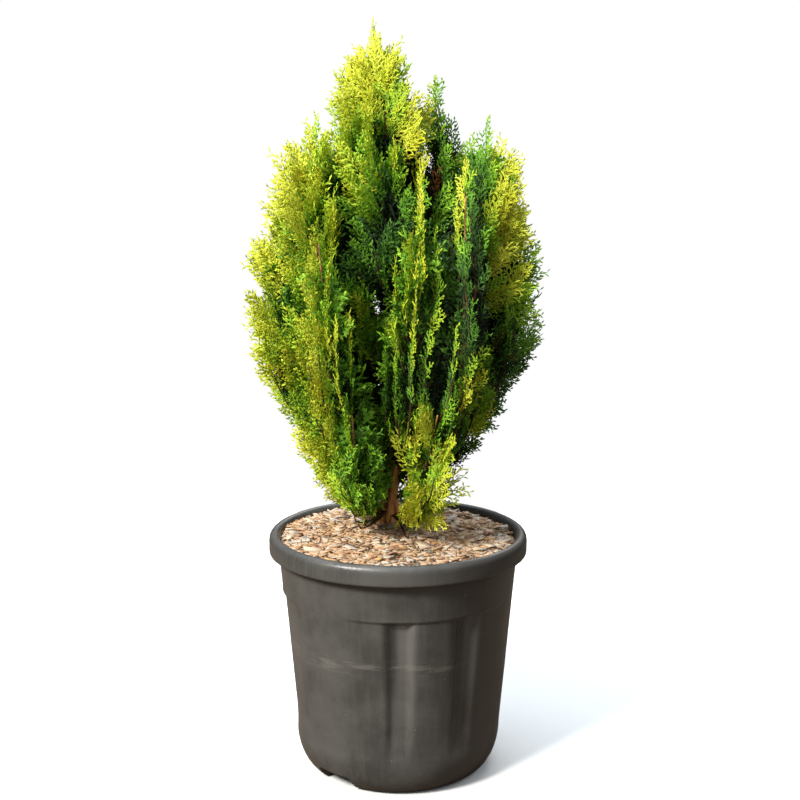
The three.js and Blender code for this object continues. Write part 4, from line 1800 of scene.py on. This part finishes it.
@dataclass
class Foliage:
    """Twigs and leaf sprays of every mass, grown by one seeded rule.

    Tips are dealt over the crown's surface no nearer to each other than the mass's
    spacing. From its mass's leader each draws a branch that goes out and then up, in an
    upright plane through the middle of the crown. Sprays stand on it as long as the
    room allows. Deep in the crown the branches face outwards. Pairs that the branches
    use hold the value of a spreading branch and that of a narrow one.
    """

    room: CrownRoom
    leaders: dict[str, Array]
    seed: int = 11
    # Branches
    squeeze: Span = (0.42, 0.24)  # how far apart tips count as being upright
    inner_depths: Span = (-0.070, -0.030)
    inner_thinning: float = 1.12
    leans: Span = (0.6, 1.35)
    inset: Span = (0.017, 0.009)
    droop: Span = (0.026, 0.018)
    rise: Span = (0.05, 0.11)
    kick: Span = (0.16, 0.34)
    leave: Span = (0.36, 0.22)
    arrive: Span = (0.36, 0.50)
    stations: int = 14
    twig_sides: int = 5
    twig_radius: Span = (0.0016, 0.0005)  # what tapers off, and what stays at the tip
    # Sprays on the branches
    sprays: int = 15
    angles: Span = (24.0, 44.0)
    twist: float = 15.0
    longest: float = 0.078
    shortest: float = 0.012
    far_shorter: float = 0.026
    narrow_length: float = 0.55
    probes: Span = (0.006, 0.09)
    # Painted shadow: steps towards the sun at which the crown is probed, the depth in it that
    # counts as full shadow, and the steps of tone lost.
    sun_steps: tuple[float, ...] = (0.024, 0.042, 0.064, 0.09, 0.12)
    shade_depth: float = 0.012
    shade_steps: float = 2.6
    # Sprays round the limbs
    core_step: float = 0.010
    core_run: Span = (0.06, 0.88)
    core_climb: Span = (25.0, 65.0)
    core_lengths: Span = (0.030, 0.052)
    core_brightest: float = 4.4
    hollow: Span = (0.352, 0.66)
    hollow_reach: float = 0.062
    # Shoots
    variants: int = 5
    sizes: Span = (0.030, 0.048)
    coarse_depth: float = -0.036
    width: float = 0.0025
    thick: float = 0.0008
    ripe_share: float = 0.12
    tired_share: float = 0.007
    counts: dict[str, int] = field(default_factory=dict)

    def __post_init__(self) -> None:
        """Grow the spray patterns: some of each of three sizes and of a coarse inner kind."""
        self.rng = np.random.default_rng(self.seed)
        rules = (
            SprayRule(side_shoots=6, length=0.50, joint=0.26),
            SprayRule(side_shoots=9, length=0.47, joint=0.18),
            SprayRule(side_shoots=13, length=0.45, joint=0.135),
            SprayRule(side_shoots=8, length=0.50, joint=0.28, breadth=1.9),
        )
        self.patterns = [[rule.grown(self.rng) for _ in range(self.variants)] for rule in rules]

    def tips(self, deepest: float, shallowest: float, thinning: float) -> Branches:
        """Deal branch tips over one layer of the crown, the highest of each mass first.

        Args:
            deepest: Least distance from the crown's surface, negative inside.
            shallowest: Greatest distance.
            thinning: Times by which the tips are further apart than usual.

        Returns:
            Branches, of which only the tips are known.
        """
        room = self.room
        shell = (room.distance > deepest) & (room.distance < shallowest) & (room.owner >= 0)
        cells = np.argwhere(shell)
        self.rng.shuffle(cells)
        owners = room.owner[tuple(cells.T)]
        heights = (np.where(owners == number, cells[:, 2], -1) for number in np.unique(owners))
        tops = [np.argmax(height) for height in heights]
        cells = np.concatenate([cells[tops], np.delete(cells, tops, axis=0)])
        points = (cells + self.rng.uniform(0.0, 1.0, cells.shape)) * room.cell + room.low
        out = unit(room.read(room.slope, points))
        found = Branches(points, room.owner[tuple(cells.T)], out)
        spacing = found.habit(room.masses, "spacing") * thinning
        squeeze = np.ones((len(points), 3))
        squeeze[:, 2] = mix(*self.squeeze, found.habit(room.masses, "column"))
        kept: list[int] = []
        taken = np.full((len(points), 3), 1e3)
        for number in np.nonzero(out[:, 2] > -0.8)[0]:
            near = (taken[: len(kept)] - points[number]) * squeeze[number]
            if len(kept) == 0 or np.min(np.einsum("ij,ij->i", near, near)) > spacing[number] ** 2:
                taken[len(kept)] = points[number]
                kept.append(int(number))
        return found.only(np.array(kept))

    def leader_place(self, branches: Branches, height: Array) -> Array:
        """Point of each branch's leader at a height, kept on the leader.

        Args:
            branches: The branches.
            height: A height for each, (n,).

        Returns:
            Points, (n, 3).
        """
        place = np.zeros((len(height), 3))
        for number, name in enumerate(self.room.masses):
            rows = branches.mass == number
            line = self.leaders[name]
            z = np.clip(height[rows], line[0, 2] + 0.004, line[-1, 2] - 0.004)
            place[rows] = read_line(z, line[:, 2], line)
        return place

    def grow(self) -> tuple[dict[str, Shell], dict[str, Shell]]:
        """Grow every branch.

        Returns:
            Twig shells and leaf shells, by mass.
        """
        outer = self.tips(self.room.cell * -1.6, self.room.cell, 1.0)
        inner = self.tips(*self.inner_depths, self.inner_thinning)
        LOG.info("%d outer and %d inner branches", len(outer.tip), len(inner.tip))
        branches = outer.followed_by(inner)
        self._draw(branches, len(outer.tip))
        twigs = self._twigs(branches)
        sprays = self._side_sprays(branches).followed_by(self._core())
        return twigs, self._leaves(sprays)

    def _draw(self, branches: Branches, outer: int) -> None:
        """Draw each branch from its leader to its tip.

        A branch is (1-t)^3 a + 3t (1-t)^2 b + 3t^2 (1-t) c + t^3 d, with a on the leader,
        b out from it, c below the tip along the tip's heading, and d the tip. What is
        drawn is kept: path, (n, stations, 3), and flat, directions square to the
        branches' planes, (n, 3).

        Args:
            branches: The branches.
            outer: How many of them, the first, are outer ones.
        """
        rng, count = self.rng, len(branches.tip)
        slant, scatter = (branches.habit(self.room.masses, name) for name in ("slant", "scatter"))
        column = branches.column(self.room.masses)
        radial = np.zeros((count, 3))
        radial[:, :2] = branches.tip[:, :2] - self.room.heart(branches.tip[:, 2])
        radial = unit(radial + 1e-6)
        radial = unit(radial + 0.45 * branches.out * np.array([1.0, 1.0, 0.0]))
        swing = np.radians(rng.normal(0.0, 1.0, count) * scatter)
        upright = np.broadcast_to(UP, radial.shape)
        radial = turned(radial, upright, swing)
        lean = slant * (1.0 - 0.5 * np.clip(branches.out[:, 2], 0.0, 1.0))
        lean = lean * rng.uniform(*self.leans, count)
        heading = unit(UP + radial * lean[:, None])
        inset, droop = mix(*self.inset, column), mix(*self.droop, column)
        end = branches.tip - branches.out * inset[:, None] - heading * droop[:, None]
        far = np.linalg.norm(end[:, :2] - self.leader_place(branches, end[:, 2])[:, :2], axis=1)
        start = self.leader_place(branches, end[:, 2] - (mix(*self.rise, column) + 0.85 * far))
        gap = np.linalg.norm(end - start, axis=1)[:, None]
        pairs = (self.kick, self.leave, self.arrive)
        kick, away, near = (mix(*pair, column)[:, None] for pair in pairs)
        leave = start + away * (end - start) + radial * gap * kick
        arrive = end - heading * gap * near
        t = np.linspace(0.0, 1.0, self.stations)[:, None]
        back = 1.0 - t
        start, leave, arrive, end = (place[:, None] for place in (start, leave, arrive, end))
        path = back**3 * start + 3.0 * t * back**2 * leave + 3.0 * t**2 * back * arrive
        self.path = path + t**3 * end
        roll = np.radians(rng.normal(0.0, 7.0, count))
        flat = turned(unit(np.cross(radial, UP)), radial, roll)
        facing = turned(radial, upright, rng.normal(0.0, 0.4, count))
        self.flat = np.where((np.arange(count) < outer)[:, None], flat, facing)

    def _twigs(self, branches: Branches) -> dict[str, Shell]:
        """Thin tapering twigs along the branches, closed at both ends.

        Args:
            branches: The branches.

        Returns:
            Shells by mass.
        """
        path = self.path
        count, rings = path.shape[:2]
        heading = unit(np.gradient(path, axis=1))
        second = unit(np.cross(heading, self.flat[:, None]))[:, :, None]
        first = np.cross(second[:, :, 0], heading)[:, :, None]
        share = np.linspace(0.0, 1.0, rings)
        taper, least = self.twig_radius
        radius = (taper * (1.0 - share) ** 0.8 + least)[None, :, None, None]
        angle = (np.arange(self.twig_sides) / self.twig_sides * FULL_TURN)[:, None]
        corners = path[:, :, None] + (first * np.cos(angle) + second * np.sin(angle)) * radius
        rows = np.concatenate([corners.reshape(count, -1, 3), path[:, :1], path[:, -1:]], axis=1)
        blocks = capped_faces(rings, self.twig_sides)
        made = {}
        for number, name in enumerate(self.room.masses):
            mine = np.nonzero(branches.mass == number)[0]
            offset = np.arange(len(mine))[:, None, None] * rows.shape[1]
            tint = self.rng.integers(0, 3, len(mine))
            made[name] = Shell(
                rows[mine].reshape(-1, 3),
                [(block + offset).reshape(-1, block.shape[1]) for block in blocks],
                [np.repeat(tint, len(block)) for block in blocks],
            )
        return made

    def _side_sprays(self, branches: Branches) -> Stand:
        """Sprays that stand left and right by turns along the branches, one at the tip.

        Args:
            branches: The branches.

        Returns:
            The sprays.
        """
        rng, room, path, flat = self.rng, self.room, self.path, self.flat
        count, stations = path.shape[:2]
        overhang, fullness, bare = (
            branches.habit(room.masses, value)[:, None]
            for value in ("overhang", "fullness", "bare")
        )
        column, peak = branches.column(room.masses)[:, None], branches.peak()[:, None]
        order = np.arange(self.sprays)
        share = 0.22 + 0.78 * (order / (self.sprays - 1)) ** 0.9
        share = np.clip(share + rng.normal(0.0, 0.012, (count, self.sprays)), 0.15, 1.0)
        share[:, -1] = 1.0
        place = share * (stations - 1)
        low = np.minimum(place.astype(int), stations - 2)
        row = np.arange(count)[:, None]
        foot = mix(path[row, low], path[row, low + 1], (place - low)[..., None])
        tangent = unit(path[row, low + 1] - path[row, low])
        side = unit(np.cross(flat[:, None], tangent))
        first_hand = np.where(rng.uniform(size=(count, 1)) < 0.5, 1, -1)
        hand = np.where(order % 2 == 0, 1.0, -1.0) * first_hand
        angle = np.radians(rng.uniform(*self.angles, share.shape) * mix(1.0, 0.55, column))
        angle[:, -1] = np.radians(rng.normal(0.0, 6.0, count))
        axis = tangent * np.cos(angle)[..., None] + side * (hand * np.sin(angle))[..., None]
        axis = unit(axis + UP * 0.12)
        twist = np.radians(rng.normal(0.0, self.twist, share.shape) * mix(1.0, 0.7, column))
        normal = unit(np.cross(axis, np.cross(flat[:, None], axis)))
        normal = turned(normal, axis, twist)
        overhang = overhang + 0.016 * smooth_step(0.70, 0.95, branches.out[:, 2:])
        overhang = overhang * rng.beta(1.2, 1.8, share.shape) * 1.6 - 0.004
        want = self.longest - self.far_shorter * share
        want = want * rng.uniform(0.78, 1.18, share.shape) * mix(1.0, self.narrow_length, column)
        length = np.minimum(want, self._reach(foot, axis, overhang))
        leading = peak * (share > 0.99)
        length = length * (1.0 - 0.10 * peak * (share > 0.8) + 0.12 * leading)
        slender = 1.0 - 0.46 * leading - 0.06 * column * (1.0 - leading)
        keep = (length > self.shortest) & (rng.uniform(size=share.shape) < fullness)
        tip = foot + axis * length[..., None]
        depth = room.read(room.distance, tip)
        low_z, high_z = np.array([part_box(name) for name in room.masses])[branches.mass, :, 2].T
        up = (tip[..., 2] - low_z[:, None]) / (high_z - low_z)[:, None]
        tone = self._tones(tip, depth, up, branches)
        mass = np.broadcast_to(branches.mass[:, None], share.shape)
        stand = Stand(foot, axis, normal, length, tone, depth, slender, mass)
        return stand.only(keep & (up > bare))

    def _reach(self, foot: Array, axis: Array, overhang: Array) -> Array:
        """How far each spray goes before it stands out of the crown by its overhang.

        Args:
            foot: Their feet, (branches, sprays, 3).
            axis: Their headings, (branches, sprays, 3).
            overhang: Their overhangs, (branches, sprays).

        Returns:
            Lengths, (branches, sprays).
        """
        probe = np.linspace(*self.probes, 15)
        ahead = foot[:, :, None] + axis[:, :, None] * probe[:, None]
        beyond = self.room.read(self.room.distance, ahead) > overhang[..., None]
        first = np.where(beyond.any(axis=-1), beyond.argmax(axis=-1), len(probe) - 1)
        return probe[first]

    def _tones(self, tip: Array, depth: Array, up: Array, branches: Branches) -> Array:
        """Tone of each spray for its place.

        It rises with the height in the mass and on the side that faces the sun, the side of
        the key light, and falls where foliage stands between a spray and the sun: painted light
        and painted shadow. Sprays near the surface are golden and those deep inside or in
        sheltered hollows dark green, partly the colours of outer and inner growth, partly
        painted shade; broad patches drift a little either way.

        Args:
            tip: Spray tips, (branches, sprays, 3).
            depth: Their distance from the crown's surface, negative inside.
            up: Their height as a share of their mass's.
            branches: The branches that bear them.

        Returns:
            Tones, (branches, sprays).
        """
        room = self.room
        bright, shade, sunlit = (
            branches.habit(room.masses, value)[:, None] for value in ("tone", "shade", "sunlit")
        )
        facing = unit(room.read(room.slope, tip)) @ SUNWARD
        # Painted shadow: sprays whose way towards the sun runs through the crown are darker.
        toward = tip[:, :, None] + SUNWARD * np.array(self.sun_steps)[:, None]
        hidden = -room.read(room.distance, toward) / self.shade_depth
        hidden = np.clip(hidden, 0.0, 1.0).mean(axis=-1)
        # Painted light: the side that faces the sun is lighter by the mass's sunlit steps.
        tone = mix(shade, bright, smooth_step(0.22, 0.6, up)) + sunlit * (facing - 0.1)
        tone = tone + self.shade_steps * (0.08 - hidden)
        tone = tone - 2.2 * smooth_step(0.93, 1.01, up)
        # Patches of painted light and painted shade.
        tone = tone + sum(patch.shift(tip) for patch in PAINTED_LIGHT_PATCHES)
        drift = lattice_noise(tip * 17.0, 9) + 0.5 * lattice_noise(tip * 42.0, 12)
        # Lighter near the surface, darker deep inside and in sheltered hollows: partly the gold
        # of outer growth and the green of inner growth, partly painted shade.
        outer_gold_and_inner_shade = 2.8 * smooth_step(-0.040, -0.004, depth) - 2.2
        place = outer_gold_and_inner_shade + 0.8 * drift - 6.0 * (room.read(room.shelter, tip) - 0.40)
        return tone + place + self.rng.normal(0.0, 0.50, up.shape)

    def _core(self) -> Stand:
        """Dim sprays all round the limbs, which fill the inside of the crown.

        Near the heart they are kept even where the crown has an open hollow.

        Returns:
            The sprays.
        """
        rng, room = self.rng, self.room
        feet, masses = [], []
        for number, name in enumerate(room.masses):
            run = run_along(self.leaders[name])
            count = int(run[-1] / self.core_step) * HABITS[name].core
            along = rng.uniform(*self.core_run, count) * run[-1]
            feet.append(read_line(along, run, self.leaders[name]))
            masses.append(np.full(count, number))
        foot, mass = np.concatenate(feet), np.concatenate(masses)
        azimuth = rng.uniform(0.0, FULL_TURN, len(foot))
        axis = pointing(azimuth, np.radians(rng.uniform(*self.core_climb, len(foot))))
        normal = unit(np.cross(axis, rng.normal(0.0, 1.0, axis.shape)))
        length = rng.uniform(*self.core_lengths, len(foot))
        depth = room.read(room.distance, foot + axis * length[:, None])
        # Darker deep inside: partly the green of inner growth, partly painted shade; the patches
        # of painted light and shade apply here too.
        tone = rng.normal(1.6, 0.8, len(foot)) + 3.4 * smooth_step(-0.03, -0.006, depth)
        tone = tone + sum(patch.shift(foot) for patch in PAINTED_LIGHT_PATCHES)
        tone = np.minimum(tone, self.core_brightest)
        away = np.linalg.norm(foot[:, :2] - room.heart(foot[:, 2]), axis=1)
        low, high = self.hollow
        hollow = (away < self.hollow_reach) & (foot[:, 2] > low) & (foot[:, 2] < high)
        coarse = np.minimum(depth, self.coarse_depth - 0.001)
        stand = Stand(foot, axis, normal, length, tone, coarse, np.ones(len(foot)), mass)
        return stand.only((depth < -0.008) | hollow)

    def _leaves(self, stand: Stand) -> dict[str, Shell]:
        """Fill the sprays with shoots, each by a pattern for its size.

        Args:
            stand: The sprays.

        Returns:
            Shells by mass.
        """
        deep = stand.depth < self.coarse_depth
        kind = np.where(deep, len(self.patterns) - 1, np.digitize(stand.length, self.sizes))
        variant = self.rng.integers(0, self.variants, len(kind))
        pieces: dict[str, list[Shell]] = {name: [] for name in self.room.masses}
        for size, patterns in enumerate(self.patterns):
            for number, pattern in enumerate(patterns):
                chosen = (kind == size) & (variant == number)
                for owner, name in enumerate(self.room.masses):
                    mine = chosen & (stand.mass == owner)
                    if mine.any():
                        pieces[name].append(self._filled(pattern, stand.only(mine)))
        return {name: joined(parts) for name, parts in pieces.items()}

    def _filled(self, pattern: Spray, stand: Stand) -> Shell:
        """Copies of one spray pattern, laid in their places and tinted.

        A pattern's point (a, b, c) goes to foot + length (a s side + b axis + c normal),
        where s narrows the spray. A shoot is a closed blade of four faces: its keel runs
        from point to point, and its two side corners lie 0.58 of the way along, half a
        width to each side and a thickness below the keel.

        Args:
            pattern: The spray's pattern.
            stand: Where the copies go.

        Returns:
            The copies' shell.
        """
        rng = self.rng
        side = np.cross(stand.axis, stand.normal) * stand.slender[:, None]
        basis = np.stack([side, stand.axis, stand.normal], axis=1)
        basis = basis * stand.length[:, None, None]
        start = stand.foot[:, None] + pattern.start @ basis
        end = stand.foot[:, None] + pattern.end @ basis
        copies, size = start.shape[:2]
        flat = np.repeat(stand.normal[:, None], size, axis=1).reshape(-1, 3)
        vigour = 0.85 + 0.15 * np.clip(stand.length / 0.05, 0.0, 1.3)
        vigour = vigour[:, None] * pattern.breadth * rng.uniform(0.85, 1.15, (copies, size))
        flat = unit(flat + rng.normal(0.0, 0.30, flat.shape))
        width, thick = ((share * vigour).ravel() for share in (self.width, self.thick))
        start, end = start.reshape(-1, 3), end.reshape(-1, 3)
        along = end - start
        side = unit(np.cross(along, flat))
        belly = start + 0.58 * along + unit(np.cross(along, side)) * thick[:, None]
        half = side * width[:, None] / 2.0
        corners = np.stack([start, belly + half, belly - half, end], axis=1)
        faces = (np.arange(len(start))[:, None, None] * 4 + SHOOT_FACES).reshape(-1, 3)
        level = stand.tone[:, None] + 2.2 * (pattern.youth - 0.62)
        level = level + rng.normal(0.0, 0.34, (copies, size))
        level = np.clip(np.round(level), Tone.NIGHT, Tone.PALE)
        ripe = rng.uniform(size=copies) < self.ripe_share
        level = np.where(ripe[:, None] & (level >= Tone.YELLOW), Tone.AMBER, level)
        tired = (rng.uniform(size=copies) < self.tired_share) & (stand.depth < -0.012)
        level = np.where(tired[:, None], Tone.RUSSET + (pattern.youth < 0.5), level)
        tints = np.repeat(level.ravel(), len(SHOOT_FACES))
        return Shell(corners.reshape(-1, 3), [faces], [tints], smooth=False)

    def dress(self) -> list[Piece]:
        """Build the twigs and leaves of every mass with their plain tints.

        Returns:
            The pieces.
        """
        names = (f"leaf_{tone.name.lower()}" for tone in Tone)
        leaf = [PlainTint(name, tone.colour, 0.6, 0.22).made() for name, tone in zip(names, Tone)]
        wood = [
            PlainTint(f"twig_{name}", linear(*display), 0.85, 0.2).made()
            for name, display in TWIG_COLOURS.items()
        ]
        twigs, leaves = self.grow()
        pieces = []
        for name in self.room.masses:
            twig = twigs[name].placed(f"twigs_of_{name}", wood)
            spray = leaves[name].placed(f"leaves_of_{name}", leaf)
            self.counts[name] = leaves[name].triangles
            for piece in (twig, spray):
                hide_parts(name)
                pieces.append(piece)
        return pieces


# ---- studio


CROWN_MIDDLE = Vector((0.0, 0.0, 0.5))


@dataclass
class Studio:
    """Pale floor, soft lights and the camera."""

    eye: Triple = (0.0027, -1.7287, 0.8014)
    pitch: float = 10.18
    lens: float = 60.93
    floor_rings: tuple[float, ...] = (0.2, 0.4, 0.7, 1.3)
    ground_glow: Colour = (0.17, 0.13, 0.095)
    sky_glow: Colour = (0.88, 0.95, 1.0)

    def floor(self) -> Piece:
        """A round pale floor under the pot.

        Returns:
            The floor.
        """
        sides = 64
        angle = np.arange(sides) / sides * FULL_TURN
        radius = np.array(self.floor_rings)[:, None]
        x, y = radius * np.cos(angle), radius * np.sin(angle)
        points = np.stack([x, y, np.zeros_like(x)], axis=-1).reshape(-1, 3)
        quads = ring_faces(len(radius), sides)[:, ::-1]
        this = np.arange(sides)
        hub = np.stack([np.full(sides, len(points)), this, (this + 1) % sides], axis=-1)
        points = np.concatenate([points, [[0.0, 0.0, 0.0]]])
        floor = Shell(points, [quads, hub]).placed("floor", [self.floor_paint()])
        return floor

    def floor_paint(self) -> Material:
        """Pale paint that throws a dim warm light back up onto the pot.

        Returns:
            The material.
        """
        finish, sketch, shader = new_finish("floor_paint", 0.8, 0.3)
        sketch.feed(shader.inputs["Base Color"], (0.80, 0.80, 0.80))
        dim = sketch.node("ShaderNodeBsdfDiffuse", Color=(0.15, 0.115, 0.085))
        sketch.by_ray(dim.outputs[0], shader.outputs[0], "Material Output")
        return finish

    @staticmethod
    def lamp(name: str, at: Triple, size: float, power: float, tint: Colour) -> None:
        """Add one square soft light aimed at the crown.

        Args:
            name: The lamp's name.
            at: Its place.
            size: Its side.
            power: Watts.
            tint: Its colour.
        """
        light = bpy.data.lights.new(name, "AREA")
        light.size, light.energy, light.color = size, power, tint
        lamp = bpy.data.objects.new(name, light)
        lamp.location = at
        aim = CROWN_MIDDLE - Vector(at)
        lamp.rotation_euler = aim.to_track_quat("-Z", "Y").to_euler()
        bpy.context.scene.collection.objects.link(lamp)

    def sky(self) -> bpy.types.World:
        """A world that lights bluer from above than from below and looks white.

        Returns:
            The world.
        """
        world = bpy.data.worlds.new("pale_sky")
        world.use_nodes = True
        sketch = Sketch(world.node_tree)
        glow = world.node_tree.nodes["Background"]
        sketch.feed(glow.inputs["Strength"], 0.72)
        way = sketch.node("ShaderNodeTexCoord").outputs["Generated"]
        height = sketch.node("ShaderNodeSeparateXYZ", Vector=way).outputs["Z"]
        tint = sketch.blend(sketch.slope(height, 0.0, 0.60), self.ground_glow, self.sky_glow)
        sketch.feed(glow.inputs["Color"], tint)
        backdrop = sketch.node("ShaderNodeBackground", Strength=1.0, Color=(1.0, 1.0, 1.0))
        sketch.by_ray(glow.outputs[0], backdrop.outputs[0], "World Output")
        return world

    def camera(self) -> Piece:
        """The camera, level across and pitched down.

        Returns:
            The camera.
        """
        lens = bpy.data.cameras.new("camera")
        lens.lens = self.lens
        lens.sensor_width = 36.0
        lens.clip_end = 60.0
        eye = bpy.data.objects.new("camera", lens)
        eye.location = self.eye
        eye.rotation_euler = (math.radians(90.0 - self.pitch), 0.0, 0.0)
        bpy.context.scene.collection.objects.link(eye)
        return eye

    def build(self) -> None:
        """Set up the floor, the lights, the sky and the camera."""
        self.floor()
        self.lamp("key_light", (-1.9, -2.02, 2.45), 0.8, 238.0, (1.0, 0.97, 0.90))
        self.lamp("fill_light", (2.0, -1.5, 2.5), 1.6, 10.0, (0.96, 0.98, 1.0))
        self.lamp("back_light", (0.8, 2.4, 2.4), 1.6, 30.0, (1.0, 0.98, 0.94))
        self.lamp("sky_panel", (-0.4, 0.5, 3.2), 2.6, 84.0, (0.80, 0.90, 1.0))
        scene = bpy.context.scene
        scene.world = self.sky()
        scene.view_settings.view_transform = "Standard"
        scene.camera = self.camera()


# ---- assembly


def ride_all(pieces: Sequence[Piece], body: str) -> None:
    """Let the pieces ride on their body and report each."""
    for piece in pieces:
        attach(piece, body)
        mesh = piece.data
        LOG.info("%s: %d triangles", piece.name, len(mesh.loops) - 2 * len(mesh.polygons))


def main() -> None:
    """Build the pot, the mulch, the limbs and the foliage in order, then the studio."""
    logging.basicConfig(level=logging.INFO, format="%(message)s")
    body = next(iter(frame["bodies"]))
    make_mottling()
    make_long_grain()
    pot = NurseryPot()
    ride_all([pot.dress()], body)
    ride_all(MulchLayer(pot).dress(), body)
    boughs = sorted(name for name in frame["nodes"] if name.startswith("bough_to_"))
    masses = ["leader_plume"] + [name.removeprefix("bough_to_") for name in boughs]
    room = CrownRoom(masses, ["trunk", *boughs])
    limbs = Limbs(room)
    ride_all(limbs.dress(), body)
    foliage = Foliage(room, limbs.leaders)
    ride_all(foliage.dress(), body)
    LOG.info("leaf triangles in all: %d", sum(foliage.counts.values()))
    Studio().build()


if __name__ == "__main__":
    main()
